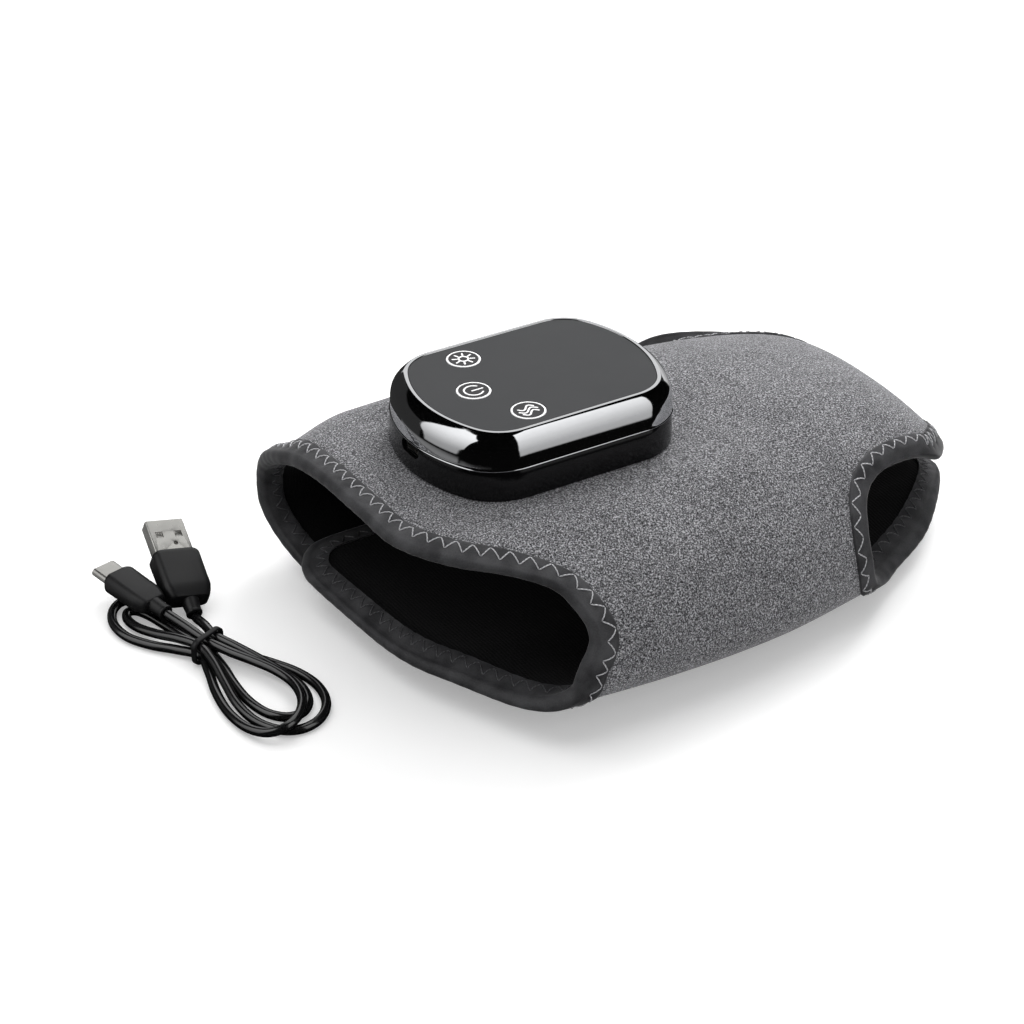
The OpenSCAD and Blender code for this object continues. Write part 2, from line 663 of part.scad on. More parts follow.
// Points on the plugs' axes, counted back from where the cord enters the moulding
function plug_a_point(back) = plug_a_at + turned(plug_a_turn, [0, -mould_a_l - back, 0]);
function plug_c_point(back) = plug_c_at + turned(plug_c_turn, [0, -mould_c_l - back, 0]);
route = [
  plug_c_point(0), plug_c_point(3), plug_c_point(6), [-100, 29.4, 6.7], tie_slot(0, high),
  [-94.5, 12.2, 5.6], [-90.5, 5.1, 5.2], [-87.1, -2.6, 5], [-85.7, -10.7, 5], [-87.2, -18.7, 5.1],
  [-91.3, -25, 5.1], [-96.7, -27.9, 4.5], [-101.7, -25.9, 3.1], [-104.9, -19.3, 2], [-105.7, -9.6, 1.5],
  [-104.3, 1, 1.5], [-101.8, 10.6, 2], tie_slot(-side, low), [-104.5, 25.5, 2], [-109.7, 32.2, 1.6],
  [-113.7, 39.6, 1.5], [-114.5, 47.4, 1.6], [-112.1, 54, 1.6], [-107.8, 57.6, 1.6], [-103.5, 56.5, 1.6],
  [-100.8, 50.9, 1.5], [-99.1, 42.7, 1.5], [-97.3, 34.6, 1.7], [-95.8, 27.8, 2], tie_slot(side, low),
  [-89.7, 14.1, 1.9], [-84.1, 6.1, 1.5], [-79.8, -2.6, 1.5], [-78.3, -11.7, 1.6], [-80.3, -20.1, 1.6],
  [-85.4, -25.8, 1.6], [-91.9, -27.3, 1.5], [-97.6, -24.2, 1.5], [-101.2, -17.2, 1.6],
  [-102.1, -7.9, 2.2], [-101.2, 1.8, 3.6], [-100.3, 10.8, 5.2], tie_slot(-side, high),
  [-103.5, 26.1, 5.2], [-107, 33.7, 3.7], [-109.5, 41.3, 2.4], [-110, 47.8, 1.7], [-108.2, 51.7, 1.5],
  [-105.5, 50.9, 1.5], [-103.3, 45.6, 1.6], [-101.6, 37.5, 1.8], [-99.9, 28.6, 2.3], tie_slot(0, low),
  [-97.1, 11.2, 1.9], [-98.1, 1.9, 1.6], [-98.4, -7.6, 1.6], [-96.7, -15.6, 1.6], [-92.8, -20.3, 1.6],
  [-87.9, -20.4, 1.5], [-84, -16.4, 1.5], [-82.5, -9.5, 1.7], [-84, -1.6, 2.3], [-87.4, 6.3, 3.7],
  [-91.3, 13.9, 5.2], tie_slot(side, high), [-93.9, 29.3, 4.9], plug_a_point(6), plug_a_point(3),
  plug_a_point(0)
];
function spline(a, b, c, d, t) =
  b + t * (c - a) / 2 + t * t * (a - 2.5 * b + 2 * c - d / 2) + t * t * t * (1.5 * (b - c) + (d - a) / 2);
function spline_path(p, steps) = concat(
  [for (i = [0:len(p) - 2], s = [0:steps - 1])
    spline(i > 0 ? p[i - 1] : 2 * p[0] - p[1], p[i], p[i + 1],
      i < len(p) - 2 ? p[i + 2] : 2 * p[i + 1] - p[i], s / steps)],
  [p[len(p) - 1]]
);
function tangent(p, i) = unit(p[min(len(p) - 1, i + 1)] - p[max(0, i - 1)]);
// Each ring's first spoke is the one before it, laid flat to the new direction
function carried(n, t) = unit(n - (n * t) * t);
module cord_along(p, r, sides) {
  t = [for (i = [0:len(p) - 1]) tangent(p, i)];
  n = [for (i = 0, v = carried([0, 0, 1], t[0]); i < len(p); i = i + 1, v = i < len(p) ? carried(v, t[i]) : v) v];
  rings = [
    for (i = [0:len(p) - 1])
      let (b = cross(t[i], n[i]))
      [for (k = [0:sides - 1]) p[i] + r * (cos(360 * k / sides) * n[i] + sin(360 * k / sides) * b)]
  ];
  tube_of(rings, flip = true);
}
cord_path = spline_path(route, 2);
// The bare gap between the cord's passes, measured on the ring centres a step apart along it
cord_gap = min([
  for (i = [0:len(cord_path) - 8], j = [i + 6:len(cord_path) - 1]) norm(cord_path[i] - cord_path[j])
]) - cord_d;
echo(cord_gap = cord_gap);
module charging_cord() {
  color(black) cord_along(cord_path, cord_r, 6);
}
// A flat band round the bundle: straight over and under it, with round sides that leave room for slanted runs
tie_air = 0.65;
tie_side_air = 0.4;
module cable_tie() {
  r = cord_r + tie_air;
  mid = [side + tie_side_air, (high - low) / 2];
  path = [
    for (q = [0:3], a = [0, 30, 60, 90])
      let (sx = q == 0 || q == 3 ? 1 : -1, sz = q < 2 ? 1 : -1)
      tie_at + tie_across * (sx * mid[0] + r * cos(a + 90 * q))
      + [0, 0, low + mid[1] + sz * mid[1] + r * sin(a + 90 * q)]
  ];
  n = len(path);
  color(black) tube_of([
    for (i = [0:n - 1])
      let (
        t = unit(path[(i + 1) % n] - path[(i + n - 1) % n]),
        out = cross(t, tie_along)
      )
      [for (s = [[-0.4, -0.9], [0.4, -0.9], [0.45, 0], [0.4, 0.9], [-0.4, 0.9]]) path[i] + s[0] * out + s[1] * tie_along]
  ], closed = true);
}

outer_fabric();
foam_core();
heating_pad();
lining();
front_binding();
rear_binding();
hook_patch();
pod_base();
mid_frame();
bezel_ring();
top_panel();
heat_key();
power_key();
massage_key();
circuit_board();
heat_switch();
power_switch();
massage_switch();
charge_socket();
charge_board();
battery_cell();
heater_lead();
motor_can();
motor_cradle();
motor_shaft();
eccentric_weight();
clamp_plate();
clamp_screw_1();
clamp_screw_2();
clamp_screw_3();
clamp_screw_4();
usb_a_shell();
usb_a_tongue();
usb_a_moulding();
usb_a_relief();
usb_c_shell();
usb_c_tongue();
usb_c_moulding();
usb_c_relief();
charging_cord();
cable_tie();
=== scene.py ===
# Looks of a wearable foot massager: a velour wrap bent into a loop, a control pod on top and a charging cord.
# Every builder below works in millimetres, and addMesh turns its points into metres.
import bpy
import bmesh
import math
import numpy as np
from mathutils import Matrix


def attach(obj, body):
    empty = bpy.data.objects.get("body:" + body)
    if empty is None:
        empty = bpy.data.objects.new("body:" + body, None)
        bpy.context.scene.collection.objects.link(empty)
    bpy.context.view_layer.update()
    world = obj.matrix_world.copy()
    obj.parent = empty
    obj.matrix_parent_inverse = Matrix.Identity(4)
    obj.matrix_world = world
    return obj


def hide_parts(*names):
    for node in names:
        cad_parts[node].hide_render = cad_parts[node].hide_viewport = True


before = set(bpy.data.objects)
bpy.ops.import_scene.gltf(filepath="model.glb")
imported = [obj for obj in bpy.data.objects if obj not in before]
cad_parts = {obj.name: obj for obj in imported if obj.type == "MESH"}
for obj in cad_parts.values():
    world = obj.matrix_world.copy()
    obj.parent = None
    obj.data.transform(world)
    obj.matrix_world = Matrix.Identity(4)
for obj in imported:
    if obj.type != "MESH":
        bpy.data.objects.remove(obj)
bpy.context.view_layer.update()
mm = 0.001
root = "wrap_and_pod"
cable = "charging_cable"


# Turns an sRGB hex colour into linear light: c / 12.92 under 0.04045, else ((c + 0.055) / 1.055) to the power 2.4.
def linearColour(code):
    values = [int(code[i:i + 2], 16) / 255 for i in (0, 2, 4)]
    return tuple(v / 12.92 if v <= 0.04045 else ((v + 0.055) / 1.055) ** 2.4 for v in values) + (1.0,)


# A smooth step from 0 to 1 between a and b: t squared times (3 - 2t), with t clipped to 0..1.
def smooth(a, b, x):
    t = np.clip((np.asarray(x, float) - a) / (b - a), 0, 1)
    return t * t * (3 - 2 * t)


# v to the power p with its sign kept, for the squarish oval.
def signedPow(v, p):
    return np.sign(v) * np.abs(v) ** p


# A cubic through stations: each piece has the slope of the line between its station's two neighbours.
def curve(t, xs, vs):
    xs, vs = np.asarray(xs, float), np.asarray(vs, float)
    n = len(xs)
    before, after = np.maximum(np.arange(n) - 1, 0), np.minimum(np.arange(n) + 1, n - 1)
    slopes = (vs[after] - vs[before]) / (xs[after] - xs[before])
    k = np.clip(np.searchsorted(xs, t, side="right") - 1, 0, n - 2)
    h = xs[k + 1] - xs[k]
    s = (t - xs[k]) / h
    s2, s3 = s * s, s * s * s
    return ((2 * s3 - 3 * s2 + 1) * vs[k] + (s3 - 2 * s2 + s) * h * slopes[k]
            + (3 * s2 - 2 * s3) * vs[k + 1] + (s3 - s2) * h * slopes[k + 1])


# Vectors of length one.
def unit(v):
    return v / np.maximum(np.linalg.norm(v, axis=-1, keepdims=True), 1e-12)


# Quads of a rows x cols grid of points, as indices. Closed ways wrap round to the first row or column.
def gridQuads(rows, cols, closeRows=False, closeCols=False, flip=False):
    i = np.arange(rows if closeRows else rows - 1)[:, None]
    j = np.arange(cols if closeCols else cols - 1)[None, :]
    a = i * cols + j
    b = ((i + 1) % rows) * cols + j
    c = ((i + 1) % rows) * cols + (j + 1) % cols
    d = i * cols + (j + 1) % cols
    quads = np.stack([a, b, c, d], -1).reshape(-1, 4)
    return quads[:, ::-1] if flip else quads


# A mesh object from points in millimetres and face arrays. Each object keeps its origin at the world's.
# angle is the edge angle past which shading breaks, and recalc turns the faces of a closed shape outwards.
def addMesh(name, points, faces, material, body=root, uv=None, angle=None, recalc=False):
    points = np.ascontiguousarray(np.asarray(points, float).reshape(-1, 3) * mm)
    faces = [np.asarray(f, int) for f in (faces if isinstance(faces, (list, tuple)) else [faces]) if len(f)]
    loops = np.concatenate([f.ravel() for f in faces])
    sizes = np.concatenate([np.full(len(f), f.shape[1]) for f in faces])
    starts = np.concatenate([[0], np.cumsum(sizes)[:-1]])
    mesh = bpy.data.meshes.new(name)
    mesh.vertices.add(len(points))
    mesh.vertices.foreach_set("co", points.ravel())
    mesh.loops.add(len(loops))
    mesh.loops.foreach_set("vertex_index", loops.astype(np.int32))
    mesh.polygons.add(len(sizes))
    mesh.polygons.foreach_set("loop_start", starts.astype(np.int32))
    mesh.polygons.foreach_set("loop_total", sizes.astype(np.int32))
    mesh.polygons.foreach_set("use_smooth", np.ones(len(sizes), bool))
    mesh.update(calc_edges=True)
    if uv is not None:
        layer = mesh.uv_layers.new(name="UVMap")
        layer.data.foreach_set("uv", np.asarray(uv, float)[loops].ravel())
    mesh.validate()
    mesh.materials.append(material)
    if recalc:
        work = bmesh.new()
        work.from_mesh(mesh)
        bmesh.ops.recalc_face_normals(work, faces=work.faces)
        work.to_mesh(mesh)
        work.free()
    obj = bpy.data.objects.new(name, mesh)
    bpy.context.scene.collection.objects.link(obj)
    if angle is not None:
        mesh.set_sharp_from_angle(angle=math.radians(angle))
    if body:
        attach(obj, body)
    return obj


# Several grids or solids in one mesh: points stacked, faces moved up by the points before them.
class Batch:
    def __init__(self):
        self.points, self.faces, self.uvs, self.count = [], [], [], 0

    def add(self, points, faces, uv=None):
        points = np.asarray(points, float).reshape(-1, 3)
        for f in (faces if isinstance(faces, list) else [faces]):
            self.faces.append(np.asarray(f, int) + self.count)
        self.points.append(points)
        self.uvs.append(np.zeros((len(points), 2)) if uv is None else np.asarray(uv, float).reshape(-1, 2))
        self.count += len(points)

    def build(self, name, material, body=root, **options):
        byLength = {}
        for f in self.faces:
            byLength.setdefault(f.shape[1], []).append(f)
        faces = [np.concatenate(v) for v in byLength.values()]
        points, uv = np.concatenate(self.points), np.concatenate(self.uvs)
        return addMesh(name, points, faces, material, body, uv=uv, **options)


# Rings joined into one closed solid, with flat ends unless the last ring joins the first.
def loft(rings, closed=False):
    rings = np.asarray(rings, float)
    n, m = rings.shape[:2]
    faces = [gridQuads(n, m, closeRows=closed, closeCols=True)]
    if not closed:
        faces += [np.arange(m)[None, ::-1], np.arange(m)[None, :] + (n - 1) * m]
    return rings.reshape(-1, 3), faces


# A profile of [radius, height] turned round the Z axis at a centre.
def lathe(profile, centre, sides, closed=False):
    profile = np.asarray(profile, float)
    angle = np.linspace(0, 2 * np.pi, sides, endpoint=False)
    x = centre[0] + profile[:, :1] * np.cos(angle)
    y = centre[1] + profile[:, :1] * np.sin(angle)
    z = np.broadcast_to(profile[:, 1:2], x.shape)
    return loft(np.stack([x, y, z], -1), closed)


# A flat outline of [x, y] points pulled straight up from one height to another.
def prism(outline, low, high):
    outline = np.asarray(outline, float)
    rings = [np.column_stack([outline, np.full(len(outline), z)]) for z in (low, high)]
    return loft(rings)


# A closed solid in a finish, to be cut out of a piece.
def cutterFrom(solid, look):
    return addMesh("Cutter", *solid, looks[look], body=None, recalc=True)


# Cuts the cutters out of a piece by an exact boolean, rounds the edges sharper than 40 degrees, and keeps the result.
# angle is the edge angle past which shading breaks.
def carve(piece, cutters, bevel, angle=30):
    for cutter in cutters:
        cut = piece.modifiers.new("Cut", "BOOLEAN")
        cut.operation, cut.solver, cut.object = "DIFFERENCE", "EXACT", cutter
    edge = piece.modifiers.new("Edge", "BEVEL")
    edge.width, edge.segments, edge.limit_method, edge.angle_limit = bevel * mm, 2, "ANGLE", math.radians(40)
    edge.use_clamp_overlap = True
    graph = bpy.context.evaluated_depsgraph_get()
    mesh = bpy.data.meshes.new_from_object(piece.evaluated_get(graph))
    piece.modifiers.clear()
    piece.data = mesh
    for cutter in cutters:
        bpy.data.objects.remove(cutter)
    mesh.set_sharp_from_angle(angle=math.radians(angle))
    return piece


# Hides the CAD node or nodes that a piece stands for. The slot of its finish is not used.
def standsFor(piece, slot, *nodes):
    if nodes:
        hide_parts(*nodes)
    return piece


# Fills a node's inputs: a plain value is set on its socket, and another node's output is linked to it.
def fillInputs(tree, node, inputs):
    for key, value in inputs.items():
        if isinstance(value, bpy.types.NodeSocket):
            tree.links.new(value, node.inputs[key])
        else:
            node.inputs[key].default_value = value


# Adds one node with its settings, its inputs and, for a ramp, its stops as [place, sRGB hex].
def addNode(tree, kind, settings=None, inputs=None, stops=()):
    node = tree.nodes.new("ShaderNode" + kind)
    for key, value in (settings or {}).items():
        setattr(node, key, value)
    for k, (place, colour) in enumerate(stops):
        element = node.color_ramp.elements[k] if k < 2 else node.color_ramp.elements.new(place)
        element.position, element.color = place, linearColour(colour)
    fillInputs(tree, node, inputs or {})
    return node


# A new material with its tree, its shader, and object coordinates in millimetres for the patterns.
def startMaterial(name):
    material = bpy.data.materials.new(name)
    material.use_nodes = True
    tree = material.node_tree
    where = addNode(tree, "TexCoord").outputs["Object"]
    place = addNode(tree, "Mapping", {}, {"Vector": where, "Scale": (1 / mm, 1 / mm, 1 / mm)}).outputs["Vector"]
    return material, tree, tree.nodes["Principled BSDF"], place


# Marled velour, knitted from dark and light grey yarn and brushed to a short pile. The fibre ends, half a
# millimetre apart, read as crisp salt and pepper, and the pile turns light where it is seen along the cloth.
velourLook = {"dark": "262628", "low": "4c4c4e", "mid": "767679", "light": "b0b0b3", "fibre": 0.45, "slow": 16.0,
              "pile": 0.35, "depth": 0.32, "roughness": 0.95, "sheen": 0.45, "sheenColour": "dcdcde"}


# The marl is a ramp over fibre noise that a slow noise shifts a little, and the pile is noise in the normal.
def velourMaterial():
    look = velourLook
    material, tree, shader, place = startMaterial("Grey marled brushed velour")
    fibre = addNode(tree, "TexNoise", {}, {"Vector": place, "Scale": 1 / look["fibre"], "Detail": 2.0,
                                           "Roughness": 0.55}).outputs["Fac"]
    slow = addNode(tree, "TexNoise", {}, {"Vector": place, "Scale": 1 / look["slow"], "Detail": 2.0}).outputs["Fac"]
    shifted = addNode(tree, "Math", {"operation": "MULTIPLY_ADD"}, {0: slow, 1: 0.05, 2: fibre}).outputs[0]
    marl = addNode(tree, "ValToRGB", {}, {"Fac": shifted}, [(0.36, look["dark"]), (0.70, look["light"]),
                                                            (0.48, look["low"]), (0.58, look["mid"])])
    pile = addNode(tree, "TexNoise", {}, {"Vector": place, "Scale": 1 / look["pile"], "Detail": 2.0})
    bump = addNode(tree, "Bump", {}, {"Height": pile.outputs["Fac"], "Distance": look["depth"] * mm, "Strength": 0.6})
    fillInputs(tree, shader, {
        "Base Color": marl.outputs["Color"], "Normal": bump.outputs["Normal"], "Roughness": look["roughness"],
        "Specular IOR Level": 0.1, "Sheen Weight": look["sheen"], "Sheen Roughness": 0.4,
        "Sheen Tint": linearColour(look["sheenColour"])})
    return material


# Brushed tricot lining: black, with a soft nap over fine ribs that run round the loop, and hardly any gloss.
liningLook = {"dark": "040405", "light": "101011", "ribs": 0.3, "nap": 0.5, "depth": 0.25, "roughness": 0.95,
              "sheen": 0.06}


# The ribs are a wave on the flat strip's map, bent by noise, and the nap is noise in the colour and the normal.
def liningMaterial():
    look = liningLook
    material, tree, shader, place = startMaterial("Black brushed tricot")
    flat = addNode(tree, "UVMap").outputs["UV"]
    rib = addNode(tree, "TexWave", {"bands_direction": "Y"}, {"Vector": flat, "Scale": look["ribs"],
                                                              "Distortion": 1.4, "Detail": 2.0}).outputs["Fac"]
    nap = addNode(tree, "TexNoise", {}, {"Vector": place, "Scale": 1 / look["nap"], "Detail": 3.0}).outputs["Fac"]
    shade = addNode(tree, "ValToRGB", {}, {"Fac": nap}, [(0.3, look["dark"]), (0.7, look["light"])])
    height = addNode(tree, "Math", {"operation": "MULTIPLY_ADD"}, {0: rib, 1: 0.4, 2: nap}).outputs[0]
    bump = addNode(tree, "Bump", {}, {"Height": height, "Distance": look["depth"] * mm, "Strength": 0.6})
    fillInputs(tree, shader, {
        "Base Color": shade.outputs["Color"], "Normal": bump.outputs["Normal"], "Roughness": look["roughness"],
        "Specular IOR Level": 0.1, "Sheen Weight": look["sheen"], "Sheen Roughness": 0.5})
    return material


# Stretch binding, a woven nylon and elastane tape: a smooth satin with a fine grain, and shallow lines along it
# that come from the pull of the sewing.
bindingLook = {"dark": "28282a", "light": "404042", "line": 0.9, "cloud": 7.0, "grain": 0.4, "depth": 0.07,
               "gloss": (0.5, 0.62), "specular": 0.35, "sheen": 0.2}


# The lines are noise drawn out along the tape's map; the grain shows in the colour and the normal, and slow clouds in
# the colour and the gloss.
def bindingMaterial():
    look = bindingLook
    material, tree, shader, place = startMaterial("Dark grey nylon binding")
    along = addNode(tree, "Mapping", {}, {"Vector": addNode(tree, "UVMap").outputs["UV"], "Scale": (0.06, 1, 1)})
    line = addNode(tree, "TexNoise", {}, {"Vector": along.outputs["Vector"], "Scale": 1 / look["line"]}).outputs["Fac"]
    cloud = addNode(tree, "TexNoise", {}, {"Vector": place, "Scale": 1 / look["cloud"]}).outputs["Fac"]
    grain = addNode(tree, "TexNoise", {}, {"Vector": place, "Scale": 1 / look["grain"],
                                           "Detail": 1.0}).outputs["Fac"]
    mixed = addNode(tree, "Math", {"operation": "MULTIPLY_ADD"}, {0: grain, 1: 0.35, 2: cloud}).outputs[0]
    shade = addNode(tree, "ValToRGB", {}, {"Fac": mixed}, [(0.5, look["dark"]), (0.85, look["light"])])
    height = addNode(tree, "Math", {"operation": "MULTIPLY_ADD"}, {0: line, 1: 0.7, 2: grain}).outputs[0]
    bump = addNode(tree, "Bump", {}, {"Height": height, "Distance": look["depth"] * mm, "Strength": 0.6})
    smoothest, roughest = look["gloss"]
    gloss = addNode(tree, "MapRange", {}, {"Value": cloud, "To Min": smoothest, "To Max": roughest}).outputs[0]
    fillInputs(tree, shader, {
        "Base Color": shade.outputs["Color"], "Normal": bump.outputs["Normal"], "Roughness": gloss,
        "Specular IOR Level": look["specular"], "Sheen Weight": look["sheen"], "Sheen Roughness": 0.35})
    return material


# Polyester sewing thread: a little glossy, its two plies seen as short slanting lights, which are painted highlights in
# its colour over a real ridge in the normal.
def threadMaterial(name, dark, light):
    material, tree, shader, _ = startMaterial(name)
    flat = addNode(tree, "UVMap").outputs["UV"]
    plyRidgesAndHighlights = addNode(tree, "TexWave", {"bands_direction": "DIAGONAL"}, {"Vector": flat, "Scale": 0.55}).outputs["Fac"]
    shade = addNode(tree, "ValToRGB", {}, {"Fac": plyRidgesAndHighlights}, [(0.2, dark), (0.8, light)])
    bump = addNode(tree, "Bump", {}, {"Height": plyRidgesAndHighlights, "Distance": 0.06 * mm, "Strength": 0.5})
    fillInputs(tree, shader, {"Base Color": shade.outputs["Color"], "Normal": bump.outputs["Normal"],
                              "Roughness": 0.35, "Specular IOR Level": 0.8})
    return material


# A moulded plastic or rubber: the mould's fine grain in the normal, and a slow change of shade and gloss.
def mouldedMaterial(name, colour, roughness, grain=0.3, depth=0.01, coat=0.0, specular=0.5):
    material, tree, shader, place = startMaterial(name)
    slow = addNode(tree, "TexNoise", {}, {"Vector": place, "Scale": 1 / 14.0}).outputs["Fac"]
    fine = addNode(tree, "TexNoise", {}, {"Vector": place, "Scale": 1 / grain}).outputs["Fac"]
    base = linearColour(colour)
    shades = [tuple(min(1, k * v) for v in base[:3]) + (1,) for k in (0.88, 1.1)]
    shade = addNode(tree, "MixRGB", {}, {"Fac": slow, "Color1": shades[0], "Color2": shades[1]})
    gloss = addNode(tree, "MapRange", {}, {"Value": slow, "To Min": roughness * 0.85, "To Max": roughness * 1.2})
    bump = addNode(tree, "Bump", {}, {"Height": fine, "Distance": depth * mm, "Strength": 0.5})
    fillInputs(tree, shader, {
        "Base Color": shade.outputs[0], "Roughness": gloss.outputs[0], "Normal": bump.outputs["Normal"],
        "Specular IOR Level": specular, "Coat Weight": coat, "Coat Roughness": 0.04})
    return material


# A bright metal, plated or rolled: faint wipe marks in its gloss, and a very fine unevenness in the normal.
def metalMaterial(name, colour, roughness, mark=2.5, depth=0.004):
    material, tree, shader, place = startMaterial(name)
    drawn = addNode(tree, "Mapping", {}, {"Vector": place, "Scale": (1, 1, 3)}).outputs["Vector"]
    wipe = addNode(tree, "TexNoise", {}, {"Vector": drawn, "Scale": 1 / mark, "Detail": 3.0}).outputs["Fac"]
    fine = addNode(tree, "TexNoise", {}, {"Vector": place, "Scale": 1 / 0.6}).outputs["Fac"]
    base = linearColour(colour)
    worn = tuple(v * 0.93 for v in base[:3]) + (1,)
    shade = addNode(tree, "MixRGB", {}, {"Fac": wipe, "Color1": base, "Color2": worn})
    gloss = addNode(tree, "MapRange", {}, {"Value": wipe, "To Min": roughness * 0.7, "To Max": roughness * 1.4})
    bump = addNode(tree, "Bump", {}, {"Height": fine, "Distance": depth * mm, "Strength": 0.4})
    fillInputs(tree, shader, {"Base Color": shade.outputs[0], "Roughness": gloss.outputs[0],
                              "Normal": bump.outputs["Normal"], "Metallic": 1.0})
    return material


# Open-cell foam, woven and hooked layers: cells or loops of a size in millimetres, in colour and in the normal.
def cellMaterial(name, dark, light, cell, depth, roughness=0.95):
    material, tree, shader, place = startMaterial(name)
    cells = addNode(tree, "TexVoronoi", {}, {"Vector": place, "Scale": 1 / cell}).outputs["Distance"]
    slow = addNode(tree, "TexNoise", {}, {"Vector": place, "Scale": 0.25 / cell}).outputs["Fac"]
    mixed = addNode(tree, "Math", {"operation": "MULTIPLY_ADD"}, {0: slow, 1: 0.4, 2: cells}).outputs[0]
    shade = addNode(tree, "ValToRGB", {}, {"Fac": mixed}, [(0.3, dark), (0.9, light)])
    bump = addNode(tree, "Bump", {}, {"Height": cells, "Distance": depth * mm, "Strength": 0.7})
    fillInputs(tree, shader, {"Base Color": shade.outputs["Color"], "Normal": bump.outputs["Normal"],
                              "Roughness": roughness, "Specular IOR Level": 0.2})
    return material


looks = {
    "velour": velourMaterial(),
    "lining": liningMaterial(),
    "binding": bindingMaterial(),
    "thread": threadMaterial("Light grey polyester thread", "88888b", "c4c4c7"),
    # The lining side's thread is painted darker than the outer thread: painted shade for the dark inside of the loop.
    "innerThreadShade": threadMaterial("Grey polyester thread with painted shade", "353537", "545457"),
    "baseAbs": mouldedMaterial("Glossy black moulded ABS", "080809", 0.12, 0.5, 0.002, specular=0.35),
    "innerAbs": mouldedMaterial("Matt black moulded ABS", "1a1a1b", 0.55),
    "panel": mouldedMaterial("Satin charcoal moulded ABS", "262729", 0.4, 0.25, 0.004, specular=0.4),
    "key": mouldedMaterial("Satin black moulded ABS", "1e1e20", 0.34, 0.25, 0.003, specular=0.4),
    "print": mouldedMaterial("White screen ink", "ededee", 0.5, 0.2, 0.002),
    "circuit": mouldedMaterial("Green solder mask", "14532d", 0.35),
    "heater": cellMaterial("Woven carbon heating pad", "151311", "4a3224", 1.1, 0.25),
    "foam": cellMaterial("Grey polyurethane foam", "2e2e30", "57575a", 0.7, 0.3),
    "hook": cellMaterial("Black nylon hook tape", "070708", "222224", 1.3, 0.4, 0.6),
    "lead": mouldedMaterial("Red flexible lead", "7d1c16", 0.45),
    "cell": metalMaterial("Aluminium pouch foil", "b4b6ba", 0.35),
    "cord": mouldedMaterial("Black glossy flexible PVC", "0f0f10", 0.2, 0.35, 0.002, coat=0.6, specular=1.0),
    "plug": mouldedMaterial("Black satin moulded PVC", "131314", 0.4, 0.35, 0.01),
    "insert": mouldedMaterial("White nylon plug insert", "e6e4e0", 0.4),
    "chrome": metalMaterial("Bright chrome plating", "d9dadc", 0.045),
    "plugSteel": metalMaterial("Nickel-plated steel", "c9c8c4", 0.28, depth=0.001),
    "steel": metalMaterial("Zinc-plated steel", "9c9c9e", 0.28),
}
print("materials ready")


# The camera is the one fitted to the photo: 31.5 degrees round from the front, 31.2 up, 98.4 mm lens on 36 mm.
cameraPlan = {"yaw": -31.5, "pitch": 31.2, "lens": 98.4, "sensor": 36.0, "target": (-44.9, -62.2, 75.0),
              "distance": 734.0, "clip": (0.01, 20.0)}


# It stands at the target + distance x the way back, which is yaw round from the front and pitch up.
def addCamera():
    yaw, pitch = math.radians(cameraPlan["yaw"]), math.radians(cameraPlan["pitch"])
    back = np.array([math.sin(yaw) * math.cos(pitch), -math.cos(yaw) * math.cos(pitch), math.sin(pitch)])
    data = bpy.data.cameras.new("Camera")
    data.lens, data.sensor_width = cameraPlan["lens"], cameraPlan["sensor"]
    data.clip_start, data.clip_end = cameraPlan["clip"]
    camera = bpy.data.objects.new("Camera", data)
    camera.location = (np.array(cameraPlan["target"]) + back * cameraPlan["distance"]) * mm
    camera.rotation_euler = (math.pi / 2 - pitch, 0.0, yaw)
    bpy.context.scene.collection.objects.link(camera)
    bpy.context.scene.camera = camera


# Soft boxes: a wide one overhead and behind, one at the far right that lights the heel end most, and a weak one in
# front. Only matt things see them, because shiny things see the tent's panels instead.
lampPlan = {
    "top": {"at": (0.06, 0.2, 1.16), "size": (1.6, 1.4), "power": 10.5},
    "right": {"at": (0.60, 0.42, 0.62), "size": (0.6, 0.6), "power": 8.0},
    "front": {"at": (-0.10, -0.95, 0.70), "size": (0.8, 0.6), "power": 1.5},
}


# Each lamp looks at a point 50 mm over the floor's middle.
def addLamps():
    for name, plan in lampPlan.items():
        data = bpy.data.lights.new("Softbox " + name, "AREA")
        data.shape = "RECTANGLE"
        data.size, data.size_y = plan["size"]
        data.energy = plan["power"]
        lamp = bpy.data.objects.new("Softbox " + name, data)
        lamp.location = plan["at"]
        aim = -np.array(plan["at"]) + np.array([0, 0, 0.05])
        lamp.rotation_euler = (math.acos(-aim[2] / np.linalg.norm(aim)), 0, math.atan2(aim[1], aim[0]) - math.pi / 2)
        lamp.visible_glossy = False
        bpy.context.scene.collection.objects.link(lamp)


# The tent, as a photographer sets round chrome: black cloth on all sides and over the floor, with white panels lit
# from behind, which only shiny things see. Its points are centre + reach x (cos a cos e, sin a cos e, sin e) over
# azimuth a and elevation e, and the reach ends at the dome or just over the floor. A panel is its corners [a, e] in
# degrees, anticlockwise, and its glow at its lowest and highest elevation.
tentPlan = {"centre": (-10.0, 0.0, 70.0), "radius": 560.0, "soft": 1.6, "floor": 0.2}
tentPanels = [
    {"corners": [(15, -36), (145, -36), (145, 24), (15, 24)], "glow": (0.03, 0.03)},
    {"corners": [(-82, -18), (-43, -18), (-42, 54), (-82, 54)], "glow": (0.48, 1.4)},
    {"corners": [(149, -20), (180, -20), (198, 50), (172, 62), (141, 58), (133, 40)], "glow": (0.36, 1.45)},
    {"corners": [(118, -29), (182, -29), (182, -21), (118, -21)], "glow": (0.3, 0.2)},
    {"corners": [(182, -29), (235, -29), (235, -22), (182, -22)], "glow": (0.14, 0.12)},
    {"corners": [(18, -14), (45, -14), (60, 6), (18, 6)], "glow": (0.3, 0.9)},
    {"corners": [(32, 4), (88, 4), (100, 82), (-10, 82), (8, 34)], "glow": (0.9, 0.9)},
]


